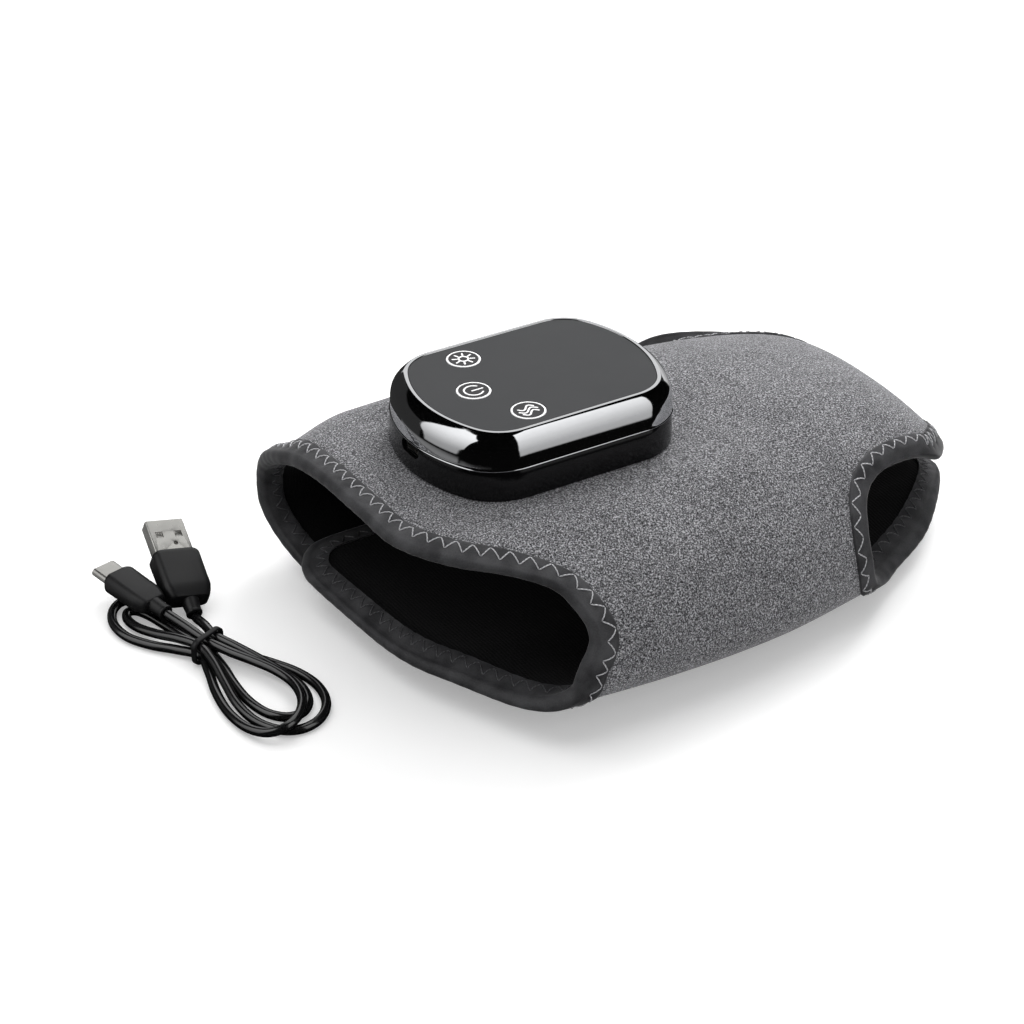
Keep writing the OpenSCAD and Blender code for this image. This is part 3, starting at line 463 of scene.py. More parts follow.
# How much of a panel each direction sees: 1 inside, falling to 0 over its soft edge, as the product over its sides of
# a smooth step of the distance inwards, cross(side, place - corner) / length.
def panelShare(a, e, corners):
    share = 1.0
    a = corners[0][0] + np.mod(a - corners[0][0] + 60, 360) - 60
    for (a0, e0), (a1, e1) in zip(corners, corners[1:] + corners[:1]):
        inwards = ((a1 - a0) * (e - e0) - (e1 - e0) * (a - a0)) / math.hypot(a1 - a0, e1 - e0)
        share = share * smooth(0, tentPlan["soft"], inwards)
    return share


# The tent is a grid of one degree by one degree, and its glow is the strongest of its panels' shares at each point.
def addTent():
    plan = tentPlan
    material, tree, shader, place = startMaterial("Black and white tent cloth")
    fold = addNode(tree, "TexNoise", {}, {"Vector": place, "Scale": 1 / 60.0}).outputs["Fac"]
    shade = addNode(tree, "ValToRGB", {}, {"Fac": fold}, [(0.0, "040404"), (1.0, "080808")])
    glow = addNode(tree, "Attribute", {"attribute_name": "glow"}).outputs["Fac"]
    fillInputs(tree, shader, {"Base Color": shade.outputs["Color"], "Roughness": 1.0, "Specular IOR Level": 0.0,
                              "Emission Color": (1, 1, 1, 1), "Emission Strength": glow})
    azimuth, elevation = np.arange(-180, 180), np.arange(-89, 90)
    a, e = np.meshgrid(azimuth, elevation, indexing="ij")
    ra, re = np.radians(a), np.radians(e)
    toward = np.stack([np.cos(ra) * np.cos(re), np.sin(ra) * np.cos(re), np.sin(re)], -1)
    floorReach = (plan["centre"][2] - plan["floor"]) / np.maximum(-np.sin(re), 1e-3)
    points = np.array(plan["centre"]) + np.minimum(plan["radius"], floorReach)[..., None] * toward
    glows = np.zeros(a.shape)
    for panel in tentPanels:
        levels = [c[1] for c in panel["corners"]]
        share = np.clip((e - min(levels)) / (max(levels) - min(levels)), 0, 1)
        low, high = panel["glow"]
        glows = np.maximum(glows, panelShare(a, e, panel["corners"]) * (low + (high - low) * share))
    tent = addMesh("Tent", points, gridQuads(len(azimuth), len(elevation), closeRows=True), material, body=None)
    tent.data.attributes.new("glow", "FLOAT", "POINT").data.foreach_set("value", glows.ravel())
    tent.visible_camera = tent.visible_diffuse = tent.visible_shadow = tent.visible_transmission = False


# What shows white: 1 for the rays of the camera, of gloss and of transmission, and 0 for all others.
def seenRays(tree):
    path = addNode(tree, "LightPath").outputs
    seen = path["Is Camera Ray"]
    for kind in ("Is Glossy Ray", "Is Transmission Ray"):
        seen = addNode(tree, "Math", {"operation": "MAXIMUM"}, {0: seen, 1: path[kind]}).outputs[0]
    return seen


# Floor: a pale disc that the camera and shiny things see a little lighter, so it is white but keeps its shadow.
floorPlan = {"dark": "e2e2e2", "light": "e6e6e6", "glow": 0.3, "radii": (120.0, 900.0, 4000.0), "height": -0.05,
             "sides": 96}


# Rings of points at the radii, with the middle closed. The floor's material adds its glow for the seen rays only.
def addFloor():
    material, tree, shader, place = startMaterial("Pale studio floor")
    cloud = addNode(tree, "TexNoise", {}, {"Vector": place, "Scale": 1 / 40.0}).outputs["Fac"]
    shade = addNode(tree, "ValToRGB", {}, {"Fac": cloud}, [(0.0, floorPlan["dark"]), (1.0, floorPlan["light"])])
    fillInputs(tree, shader, {"Base Color": shade.outputs["Color"], "Roughness": 0.9})
    strength = addNode(tree, "Math", {"operation": "MULTIPLY"}, {0: seenRays(tree), 1: floorPlan["glow"]}).outputs[0]
    glow = addNode(tree, "Emission", {}, {"Color": (1, 1, 1, 1), "Strength": strength})
    both = addNode(tree, "AddShader", {}, {0: shader.outputs[0], 1: glow.outputs[0]})
    fillInputs(tree, tree.nodes["Material Output"], {"Surface": both.outputs[0]})
    radii, sides = np.array(floorPlan["radii"]), floorPlan["sides"]
    angles = np.linspace(0, 2 * np.pi, sides, endpoint=False)
    level = np.full((len(radii), sides), floorPlan["height"])
    points = np.stack([np.outer(radii, np.cos(angles)), np.outer(radii, np.sin(angles)), level], -1)
    faces = [gridQuads(len(radii), sides, closeCols=True), np.arange(sides)[None, :]]
    floor = addMesh("Floor", points, faces, material, body=None)


# The world: white to the camera and to shiny things, dimmer as a light.
worldPlan = {"light": 0.5, "seen": 1.0}


# Its strength runs from light to seen as the share of seen rays does.
def addWorld():
    world = bpy.data.worlds.new("Studio")
    bpy.context.scene.world = world
    world.use_nodes = True
    tree = world.node_tree
    light, white = worldPlan["light"], worldPlan["seen"]
    strength = addNode(tree, "MapRange", {}, {"Value": seenRays(tree), "To Min": light, "To Max": white}).outputs[0]
    fillInputs(tree, tree.nodes["Background"], {"Color": (1, 1, 1, 1), "Strength": strength})


addCamera()
addLamps()
addTent()
addFloor()
addWorld()
bpy.context.scene.view_settings.view_transform = "Standard"
print("camera, lamps, tent and floor ready")


# The cord passes its tie in two layers of three: at two heights, and at a distance to each side of the middle, along
# the direction that the tie lies in.
cordPlan = {"diameter": 2.8, "tieAt": (-97.5, 20.0), "across": (0.923, 0.385), "low": 2.55, "high": 5.85,
            "side": 3.35, "steps": 6, "sides": 20}
# A plug's place and its turns about X, Y and Z; its shell as width, height, corner radius, back and tip; its moulding
# as width, height and corner radius, with its length; and its strain relief as two radii and a length.
plugPlan = {
    "a": {"at": (-89.5, 58.5, 11.8), "turn": (23, 10, -5), "shell": (12, 4.5, 0.55, -2, 11.8),
          "moulding": (15.0, 7.6, 2.2), "long": 17.5, "relief": (2.7, 2.2, 5.0)},
    "c": {"at": (-107.2, 60.5, 8.6), "turn": (4, 0, 13), "shell": (8.34, 2.56, 1.27, -1.5, 6.6),
          "moulding": (11.0, 6.4, 2.6), "long": 18.0, "relief": (2.5, 2.1, 5.5)},
}


# The rotation of a plug: about X, then Y, then Z.
def turnMatrix(turn):
    a, b, c = (math.radians(v) for v in turn)
    aboutX = np.array([[1, 0, 0], [0, math.cos(a), -math.sin(a)], [0, math.sin(a), math.cos(a)]])
    aboutY = np.array([[math.cos(b), 0, math.sin(b)], [0, 1, 0], [-math.sin(b), 0, math.cos(b)]])
    aboutZ = np.array([[math.cos(c), -math.sin(c), 0], [math.sin(c), math.cos(c), 0], [0, 0, 1]])
    return aboutZ @ aboutY @ aboutX


# Local points of a plug (tip along +Y) put in place.
def atPlug(which, points):
    plan = plugPlan[which]
    return np.asarray(points, float) @ turnMatrix(plan["turn"]).T + np.array(plan["at"])


# A point on a plug's axis, so far behind its moulding.
def plugPoint(which, back):
    return tuple(atPlug(which, [0, -plugPlan[which]["long"] - back, 0]))


# A place in the tie: its middle + across x the tie's direction, at a height.
def tieSlot(across, height):
    (x, y), (dx, dy) = cordPlan["tieAt"], cordPlan["across"]
    return (x + dx * across, y + dy * across, height)


low, high, side = cordPlan["low"], cordPlan["high"], cordPlan["side"]
cordRoute = [
    plugPoint("c", 0), plugPoint("c", 3), plugPoint("c", 6), (-100, 29.4, 6.7), tieSlot(0, high),
    (-94.5, 12.2, 5.6), (-90.5, 5.1, 5.2), (-87.1, -2.6, 5), (-85.7, -10.7, 5), (-87.2, -18.7, 5.1),
    (-91.3, -25, 5.1), (-96.7, -27.9, 4.5), (-101.7, -25.9, 3.1), (-104.9, -19.3, 2), (-105.7, -9.6, 1.5),
    (-104.3, 1, 1.5), (-101.8, 10.6, 2), tieSlot(-side, low), (-104.5, 25.5, 2), (-109.7, 32.2, 1.6),
    (-113.7, 39.6, 1.5), (-114.5, 47.4, 1.6), (-112.1, 54, 1.6), (-107.8, 57.6, 1.6), (-103.5, 56.5, 1.6),
    (-100.8, 50.9, 1.5), (-99.1, 42.7, 1.5), (-97.3, 34.6, 1.7), (-95.8, 27.8, 2), tieSlot(side, low),
    (-89.7, 14.1, 1.9), (-84.1, 6.1, 1.5), (-79.8, -2.6, 1.5), (-78.3, -11.7, 1.6), (-80.3, -20.1, 1.6),
    (-85.4, -25.8, 1.6), (-91.9, -27.3, 1.5), (-97.6, -24.2, 1.5), (-101.2, -17.2, 1.6),
    (-102.1, -7.9, 2.2), (-101.2, 1.8, 3.6), (-100.3, 10.8, 5.2), tieSlot(-side, high),
    (-103.5, 26.1, 5.2), (-107, 33.7, 3.7), (-109.5, 41.3, 2.4), (-110, 47.8, 1.7), (-108.2, 51.7, 1.5),
    (-105.5, 50.9, 1.5), (-103.3, 45.6, 1.6), (-101.6, 37.5, 1.8), (-99.9, 28.6, 2.3), tieSlot(0, low),
    (-97.1, 11.2, 1.9), (-98.1, 1.9, 1.6), (-98.4, -7.6, 1.6), (-96.7, -15.6, 1.6), (-92.8, -20.3, 1.6),
    (-87.9, -20.4, 1.5), (-84, -16.4, 1.5), (-82.5, -9.5, 1.7), (-84, -1.6, 2.3), (-87.4, 6.3, 3.7),
    (-91.3, 13.9, 5.2), tieSlot(side, high), (-93.9, 29.3, 4.9), plugPoint("a", 6), plugPoint("a", 3),
    plugPoint("a", 0),
]


# A Catmull-Rom curve through the route: each span is a cubic with the slope of its neighbours' chord.
def splinePath(route, steps):
    p = np.asarray(route, float)
    p = np.vstack([2 * p[0] - p[1], p, 2 * p[-1] - p[-2]])
    a, b, c, d = p[:-3, None], p[1:-2, None], p[2:-1, None], p[3:, None]
    t = (np.arange(steps) / steps)[None, :, None]
    spans = b + t * (c - a) / 2 + t**2 * (a - 2.5 * b + 2 * c - d / 2) + t**3 * (1.5 * (b - c) + (d - a) / 2)
    return np.vstack([spans.reshape(-1, 3), p[-2]])


# A tube: rings of points round a path, each ring square to it, its first spoke as near to up as it can be.
# Its map is length along the path and girth.
def tubeMesh(path, radius, sides, up=(0, 0, 1), closed=False):
    path = np.asarray(path, float)
    ahead = np.roll(path, -1, axis=0) - np.roll(path, 1, axis=0)
    if not closed:
        ahead[0], ahead[-1] = path[1] - path[0], path[-1] - path[-2]
    tangent = unit(ahead)
    up = np.broadcast_to(np.asarray(up, float), path.shape)
    spoke = unit(up - tangent * (up * tangent).sum(-1, keepdims=True))
    other = np.cross(tangent, spoke)
    angle = np.linspace(0, 2 * np.pi, sides, endpoint=False)
    radius = np.broadcast_to(np.asarray(radius, float), (len(path),))
    ring = np.cos(angle)[None, :, None] * spoke[:, None] + np.sin(angle)[None, :, None] * other[:, None]
    points = path[:, None] + radius[:, None, None] * ring
    faces = [gridQuads(len(path), sides, closeRows=closed, closeCols=True)]
    if not closed:
        faces += [np.arange(sides)[None, ::-1], (np.arange(sides) + (len(path) - 1) * sides)[None, :]]
    length = np.concatenate([[0], np.cumsum(np.linalg.norm(np.diff(path, axis=0), axis=1))])
    uv = np.stack(np.broadcast_arrays(length[:, None], (angle * radius.mean())[None, :]), -1)
    return points.reshape(-1, 3), faces, uv.reshape(-1, 2)


# The cord: a tube round the curve through its route. Its length is the sum of the steps along that curve.
def addCord():
    path = splinePath(cordRoute, cordPlan["steps"])
    points, faces, uv = tubeMesh(path, cordPlan["diameter"] / 2, cordPlan["sides"])
    piece = addMesh("Charging_cord", points, faces, looks["cord"], cable, uv=uv, angle=60)
    standsFor(piece, "cord_pvc", "charging_cord")
    length = float(np.linalg.norm(np.diff(path, axis=0), axis=1).sum()) * mm
    return piece, path, length


chargingCord, cordPath, cordLength = addCord()
print("cord length", round(cordLength, 4))


# A rounded rectangle as centres and outward directions, so that its points are centre + (radius + d) x direction.
def roundedRect(width, height, radius, steps):
    angle = np.radians(np.concatenate([np.linspace(0, 90, steps) + 90 * q for q in range(4)]))
    signs = np.repeat([[1, 1], [-1, 1], [-1, -1], [1, -1]], steps, axis=0)
    centre = signs * [width / 2 - radius, height / 2 - radius]
    return centre, np.stack([np.cos(angle), np.sin(angle)], -1), radius


# A flat outline of [x, z] points as a ring at y.
def ringAt(flat, y):
    return np.column_stack([flat[:, 0], np.full(len(flat), y), flat[:, 1]])


# Rings of a rounded rectangle along Y, from rows of [y, shrink across, shrink up].
def rectRings(width, height, radius, rows, steps):
    centre, out, r = roundedRect(width, height, radius, steps)
    rings = []
    for y, across, up in rows:
        shares = [1 - across / (width / 2), 1 - up / (height / 2)]
        rings.append(ringAt(centre * shares + r * out * shares, y))
    return rings


# A metal shell: a deep-drawn cup of rounded-rectangle section, open at the tip, its wall 0.3 mm.
def shellRings(width, height, radius, back, tip):
    centre, out, r = roundedRect(width, height, radius, 10)
    rows = [(back, 0), (tip - 0.12, 0), (tip, -0.1), (tip, -0.2), (tip - 0.12, -0.3), (back + 1, -0.3)]
    return [ringAt(centre + (r + d) * out, y) for y, d in rows]


# The USB-A shell's contact windows and springs, at these places across, and its round hole.
contactPlan = {"across": (-3, 3), "window": [[-1.15, -1.05], [1.15, -1.05], [1.15, 1.05], [-1.15, 1.05]],
               "windowAt": 6.25, "hole": (1.2, 2.8), "holeRadius": 0.7, "leafThickness": 0.2,
               "leaf": [(5.3, 0.9, 1.95), (6.4, 0.9, 1.5), (7.2, 0.9, 1.2)]}


# The USB-A shell: two square windows and a round hole cut through its upper wall, with a sprung leaf in each window,
# which is lofted from rows of [y, half width, height].
def addShellA():
    plan, pieces = contactPlan, []
    points, faces = loft(shellRings(*plugPlan["a"]["shell"]))
    shell = addMesh("Plug_a_shell", atPlug("a", points), faces, looks["plugSteel"], cable, recalc=True)
    solids = [prism(np.array(plan["window"]) + [x, plan["windowAt"]], 1, 4) for x in plan["across"]]
    solids.append(lathe([[plan["holeRadius"], 1], [plan["holeRadius"], 4]], plan["hole"], 24))
    cutters = [cutterFrom((atPlug("a", points), faces), "plugSteel") for points, faces in solids]
    pieces.append(standsFor(carve(shell, cutters, 0.05), "plug_steel", "usb_a_shell"))
    springs, t = Batch(), plan["leafThickness"]
    for x in plan["across"]:
        points, faces = loft([[[x - w, y, z + t], [x + w, y, z + t], [x + w, y, z], [x - w, y, z]]
                              for y, w, z in plan["leaf"]])
        springs.add(atPlug("a", points), faces)
    leaves = springs.build("Plug_a_springs", looks["plugSteel"], cable, angle=30, recalc=True)
    return pieces + [standsFor(leaves, "plug_steel")]


# The USB-C shell: the same cup with round sides and no windows.
def addShellC():
    points, faces = loft(shellRings(*plugPlan["c"]["shell"]))
    shell = addMesh("Plug_c_shell", atPlug("c", points), faces, looks["plugSteel"], cable, angle=35, recalc=True)
    return [standsFor(shell, "plug_steel", "usb_c_shell")]


# A plug's moulding in rows of [place, shrink across, shrink up]. The front is how far its round reaches back, across
# and up; the places of the sides are shares of the length; and those of the back are millimetres before its end.
mouldingPlan = {
    "front": (1.7, 1.9, 0.7),
    "sides": [(0.35, 0.08, 0.05), (0.55, 0.12, 0.08), (0.72, 0.1, 0.05), (0.78, 0.2, 0.1), (0.86, 0.6, 0.35),
              (0.94, 1.15, 0.65)],
    "back": [(0.45, 1.4, 0.8), (0.15, 1.6, 0.95), (0, 2.0, 1.3)],
}


# The moulding: a broad rounded front, whose rows follow a quarter of a circle, straight sides and a narrower back with
# a soft edge.
def addMoulding(which):
    width, height, radius = plugPlan[which]["moulding"]
    long, turn = plugPlan[which]["long"], np.radians([0, 15, 30, 45, 60, 75, 90])
    deep, across, up = mouldingPlan["front"]
    front = [(-deep * (1 - math.cos(t)), across * (1 - math.sin(t)), up * (1 - math.sin(t))) for t in turn]
    sides = [(-share * long, across, up) for share, across, up in mouldingPlan["sides"]]
    back = [(-long + before, across, up) for before, across, up in mouldingPlan["back"]]
    points, faces = loft(rectRings(width, height, radius, front + sides + back, 9))
    body = addMesh("Plug_" + which + "_moulding", atPlug(which, points), faces, looks["plug"], cable, angle=45,
                   recalc=True)
    return standsFor(body, "cord_pvc", "usb_" + which + "_moulding")


# A strain relief: a taper with a small rolled collar at its end, bored for the cord and turned round the plug's own
# Y axis.
def addRelief(which):
    (r1, r2, long), back = plugPlan[which]["relief"], plugPlan[which]["long"]
    steps = np.array([0, 0.3, 0.6, 0.8, 0.82, 0.86, 0.93, 0.98, 1.0])
    collar = np.array([0, 0, 0, 0, 0.16, 0.24, 0.25, 0.2, 0.05])
    outer = np.column_stack([r1 + (r2 - r1) * steps + collar, -back - long * steps])
    bore = [[1.6, -back - long], [1.6, -back]]
    points, faces = lathe(np.vstack([outer, bore]), (0, 0), 28, closed=True)
    relief = addMesh("Plug_" + which + "_relief", atPlug(which, points[:, [0, 2, 1]]), faces, looks["plug"], cable,
                     angle=35, recalc=True)
    return standsFor(relief, "cord_pvc", "usb_" + which + "_relief")


# The tie: a flat band round the bundle, with some air round the strands.
tiePlan = {"air": 0.65, "sideAir": 0.4, "width": 1.8, "thickness": 0.8}


# Its path is the bundle's middle + a rounded rectangle in the plane across the bundle, and its section is laid at each
# place as along x width + outward x thickness.
def addTie():
    radius = cordPlan["diameter"] / 2 + tiePlan["air"]
    across = np.array([*cordPlan["across"], 0])
    along = np.array([across[1], -across[0], 0])
    height = (high - low) / 2
    centre, out, r = roundedRect(2 * (side + tiePlan["sideAir"] + radius), 2 * (height + radius), radius, 12)
    flat = centre + r * out
    path = np.array([*cordPlan["tieAt"], low + height]) + flat[:, :1] * across + flat[:, 1:] * [0, 0, 1]
    outward = out[:, :1] * across + out[:, 1:] * [0, 0, 1]
    w, t = tiePlan["width"] / 2, tiePlan["thickness"] / 2
    section = [(-w, -0.6 * t), (-w, 0.6 * t), (-0.8 * w, t), (0, 1.1 * t), (0.8 * w, t), (w, 0.6 * t), (w, -0.6 * t),
               (0.8 * w, -t), (-0.8 * w, -t)]
    rings = np.stack([path + a * along + b * outward for a, b in section], 1)
    band = Batch()
    band.add(*loft(rings, closed=True))
    tie = band.build("Cable_tie", looks["plug"], cable, angle=50, recalc=True)
    return standsFor(tie, "cord_pvc", "cable_tie")


plugPieces = addShellA() + addShellC() + [addMoulding(which) for which in "ac"] + [addRelief(which) for which in "ac"]
plugPieces.append(addTie())
print("plugs and tie ready")


# The wrap is one long strip bent into a loop that overlaps itself underneath. Its section is a squarish oval
# that changes along X; an angle goes round it: 0 at the near fold, 90 at the crown, 180 at the far fold.
# Between the angles of closure the tail rises from under the flap. The pod's flat seat has a half length and half
# width in seatReach, and fades out over the distances in seatBlend. The strip runs on past its ends at pastEnds
# degrees a millimetre. The tape squeezes the layers by the shares in squeeze. The edges are held up over liftReach.
# A grid has a column for each of its steps in gridWidth.
wrapPlan = {
    "velour": 1.2, "foam": 2.8, "lining": 1.0, "hook": 1.2, "closureGap": 2.2, "closure": (-66, -20),
    "tapeWidth": 5.4, "tapeThickness": 0.8, "tapeRoll": 1.8, "tapeStep": 0.72, "squeeze": (0.58, 0.33),
    "cornerRadius": 14.0, "edgeLift": 0.9, "liftReach": 34, "tailTurn": -135.0, "flapTurn": 285.0, "pastEnds": 0.8,
    "squareness": 2.35, "seat": 55.0, "seatReach": (36, 27), "seatBlend": (9, 30), "gridWidth": 150,
}
wrapDepth = wrapPlan["velour"] + wrapPlan["foam"] + wrapPlan["lining"]
stationX = [-70, -40, 0, 40, 75, 105, 120, 134]
sectionTable = {
    "halfWidth": [67, 70, 72, 68, 61, 54, 50.5, 43], "centreY": [-6, -5, -5, -6, -6, -6, -7, -9],
    "crown": [52, 54, 56.5, 56.5, 57, 52, 42, 23], "lowest": [3, 0.5, -0.5, -0.5, -0.3, 1.4, 2.4, 3],
    "fold": [22, 24, 22, 18.5, 17, 16, 14.5, 13],
}
frontTurns = [-135, -105, -75, -45, -15, 0, 15, 30, 45, 60, 75, 90, 105, 135, 165, 195, 225, 255, 285]
frontEdge = [-61, -59, -55, -43, -31, -29, -24, -25, -30.3, -49.5, -59, -60.2, -60, -60, -58, -57, -55, -51, -45]
rearTurns = [-135, -105, -90, -75, -60, -45, -38, -30, -15, 0, 15, 27, 32, 36, 39.4, 42, 43.4, 44, 44.6, 45.6,
             47.5, 51, 56, 62, 75, 90, 105, 120, 135, 150, 165, 180, 195, 225, 255, 285]
rearEdge = [124, 132, 135, 136, 129, 115, 106, 92, 80, 75, 73, 74.5, 76.5, 79.5, 84, 90, 98, 105.5, 110.5, 113, 115.5,
            118.5, 122.5, 126.5, 131.5, 133.5, 131, 121, 99, 74, 62, 65, 72, 89, 104, 112]
# The rear edge turns up on the far side, where the stitching gathers it, and down beside that and at the heel's tip:
# each place is its angle, the angle it spreads over and its rise. It sets in from inner to outer, in millimetres
# past the edge.
flarePlan = {"places": [(150, 11, 5.0), (123, 9, -3.2), (50, 9, -4.4)], "inner": -8.0, "outer": 2.0}


# A point of the wrap by angle, X and depth under its outer face: a squarish oval that is pressed flat under the
# pod, and rests on the floor with a soft contact: (z + g + root((z - g) squared + 1)) / 2, g being the floor's height.
def wrapPoint(turn, x, depth, lift=0.0):
    turn, x, depth, lift = np.broadcast_arrays(*(np.asarray(v, float) for v in (turn, x, depth, lift)))
    at = {name: curve(x, stationX, table) for name, table in sectionTable.items()}
    inset = depth + (wrapDepth + wrapPlan["closureGap"]) * (1 - smooth(*wrapPlan["closure"], turn))
    c, s = np.cos(np.radians(turn)), np.sin(np.radians(turn))
    power = 2 / wrapPlan["squareness"]
    y = at["centreY"] - (at["halfWidth"] - inset) * signedPow(c, power)
    reach = np.where(s > 0, at["crown"] - at["fold"], at["fold"] - at["lowest"]) - inset
    free = at["fold"] + reach * signedPow(s, power)
    seatX, seatY = wrapPlan["seatReach"]
    away = np.hypot(np.maximum(0, np.abs(x) - seatX), np.maximum(0, np.abs(y) - seatY))
    flat = np.where(s > 0, 1 - smooth(*wrapPlan["seatBlend"], away), 0)
    z = free * (1 - flat) + (wrapPlan["seat"] - inset) * flat
    beyond = x - curve(turn, rearTurns, rearEdge)
    near = smooth(flarePlan["inner"], flarePlan["outer"], beyond)
    for middle, spread, rise in flarePlan["places"]:
        z = z + rise * np.exp(-((turn - middle) / spread) ** 2) * near
    ground = inset + lift
    z = (z + ground + np.sqrt((z - ground) ** 2 + 1.0)) / 2
    return np.stack([x, y, z], -1)


# Length along the strip against angle, summed in chords at mid thickness and at tableX, and counted from under the
# pod's middle.
tableX, tableStep = 20.0, 3
tableTurns = np.arange(wrapPlan["tailTurn"], wrapPlan["flapTurn"] + tableStep / 2, tableStep)
chords = np.linalg.norm(np.diff(wrapPoint(tableTurns, tableX, wrapDepth / 2), axis=0), axis=1)
tableLaps = np.concatenate([[0], np.cumsum(chords)])
crownY = curve(np.array(tableX), stationX, sectionTable["centreY"])
tableLaps = tableLaps - tableLaps[np.searchsorted(tableTurns, 90)] + crownY
lapLow, lapHigh = tableLaps[0], tableLaps[-1]


# Angle at a length along the strip, running on past the ends.
def turnAt(lap):
    past = np.maximum(0, lap - lapHigh) - np.maximum(0, lapLow - lap)
    return np.interp(lap, tableLaps, tableTurns) + wrapPlan["pastEnds"] * past


# How far the tape squeezes the layers towards their outer face: by most - less x cos squared of the angle of their
# thickness at the very edge, and less and less over the tape's width.
def squeezed(depth, turn, inset):
    most, less = wrapPlan["squeeze"]
    taken = most - less * np.cos(np.radians(turn)) ** 2
    share = 1 - np.clip(inset / wrapPlan["tapeWidth"], 0, 1)
    return depth - taken * share * np.clip(depth, 0, wrapDepth)


# A place on the flat strip [length, X] put on the loop at a depth, with its lift and its distance from the edge.
def placeOn(q, depth, lift, inset):
    turn = turnAt(q[..., 0])
    return wrapPoint(turn, q[..., 1], squeezed(depth, turn, inset), lift)


# X of the strip's rear or front edge at a length along it.
def edgeX(lap, rear):
    return curve(turnAt(lap), rearTurns, rearEdge) if rear else curve(turnAt(lap), frontTurns, frontEdge)


# Rows across the strip: fans round its corners at both ends, straight rows between them.
def stripRows(step, fan):
    first, last = lapLow + wrapPlan["cornerRadius"], lapHigh - wrapPlan["cornerRadius"]
    straight = np.linspace(first, last, int(round((last - first) / step)) + 1)
    turns, none = np.linspace(90, 0, fan, endpoint=False), np.zeros(len(straight))
    return {"lap": np.concatenate([np.full(fan, first), straight, np.full(fan, last)]),
            "turn": np.radians(np.concatenate([turns, none, turns[::-1]])),
            "into": np.concatenate([np.ones(fan), none, -np.ones(fan)])}


# Places where the rows meet one edge of the strip, an inset inwards: on the corner's arc, or square to the edge.
def edgeAt(rows, rear, inset):
    lap, turn, into = rows["lap"], rows["turn"], rows["into"]
    out, radius = (1 if rear else -1), wrapPlan["cornerRadius"]
    near = np.minimum(lap - lapLow, lapHigh - lap) - radius
    rise = (edgeX(lap - 1, rear) - edgeX(lap + 1, rear)) * smooth(0, 12, near)
    size = np.hypot(rise, 2)
    edge, reach = edgeX(lap, rear), radius - inset
    fan = [lap - into * reach * np.sin(turn), edge - out * radius + out * reach * np.cos(turn)]
    square = [lap - out * inset * rise / size, edge - out * inset * 2 / size]
    return np.stack(np.where(into != 0, fan, square), -1)


# A grid over the strip: straight lines from edge to edge, at shares across. Its lift keeps the edges up by the
# tape's thickness and lets the middle down to the floor.
def stripGrid(step, fan, inset):
    rows = stripRows(step, fan)
    front, rear = edgeAt(rows, False, inset), edgeAt(rows, True, inset)
    share = np.linspace(0, 1, int(wrapPlan["gridWidth"] / step))[None, :, None]
    q = front[:, None] * (1 - share) + rear[:, None] * share
    wide = np.linalg.norm(rear - front, axis=1)[:, None]
    across = [share[..., 0] * wide + inset, (1 - share[..., 0]) * wide + inset]
    inside = np.minimum.reduce(across + [q[..., 0] - lapLow, lapHigh - q[..., 0]])
    return q, wrapPlan["edgeLift"] * (1 - smooth(wrapPlan["tapeWidth"], wrapPlan["liftReach"], inside)), inside


# A sheet of cloth or foam with two faces: quads on both, and a wall wherever a kept cell has no neighbour.
def shellGrid(top, bottom, keep):
    rows, cols = top.shape[:2]
    index = np.arange(rows * cols).reshape(rows, cols)
    a, b, c, d = index[:-1, :-1], index[1:, :-1], index[1:, 1:], index[:-1, 1:]
    below = rows * cols
    cells = np.stack([a, d, c, b], -1)[keep]
    faces = [cells, cells[:, ::-1] + below]
    padded = np.pad(keep, 1)
    for di, dj, p, q in ((-1, 0, a, d), (1, 0, c, b), (0, -1, b, a), (0, 1, d, c)):
        bare = keep & ~padded[1 + di:rows + di, 1 + dj:cols + dj]
        faces.append(np.stack([q, p, p + below, q + below], -1)[bare])
    return np.concatenate([top.reshape(-1, 3), bottom.reshape(-1, 3)]), np.concatenate(faces)


# The neck's window under the pod, and the heating pad round it, as a half length along the strip and X from and to;
# and the hook tape's patch, from and to so far before the flap's end and X from and to.
areaPlan = {"window": (14.4, -20, 20.5), "pad": (52.8, -20, 72), "patch": (76, 20, -12, 84)}


# The cells that a layer keeps, by their centres: all but the window, the pad, the rim round the pad, or the patch.
def cellMask(q, part):
    centre = (q[:-1, :-1] + q[1:, :-1] + q[1:, 1:] + q[:-1, 1:]) / 4
    lap, x = centre[..., 0], centre[..., 1]
    window, pad = [(np.abs(lap) < half) & (x > x0) & (x < x1)
                   for half, x0, x1 in (areaPlan["window"], areaPlan["pad"])]
    if part == "pad":
        return pad & ~window
    if part == "rim":
        return ~pad
    if part == "patch":
        start, stop, x0, x1 = areaPlan["patch"]
        return (lap > lapHigh - start) & (lap < lapHigh - stop) & (x > x0) & (x < x1)
    return ~window


# The cloth that is puffed, on a coarse grid. It is held where its points lie under the pod, within half a length and
# half a width and over a height, and where they are no higher than grounded.
puffPlan = {"step": 4.0, "fan": 4, "inset": 3.0, "pressure": 4.0, "frames": 20, "quality": 6, "mass": 0.2,
            "stiffness": 12, "bending": 0.4, "limits": (-0.2, 1.1), "underPod": (43, 33, 40), "grounded": 2.0}


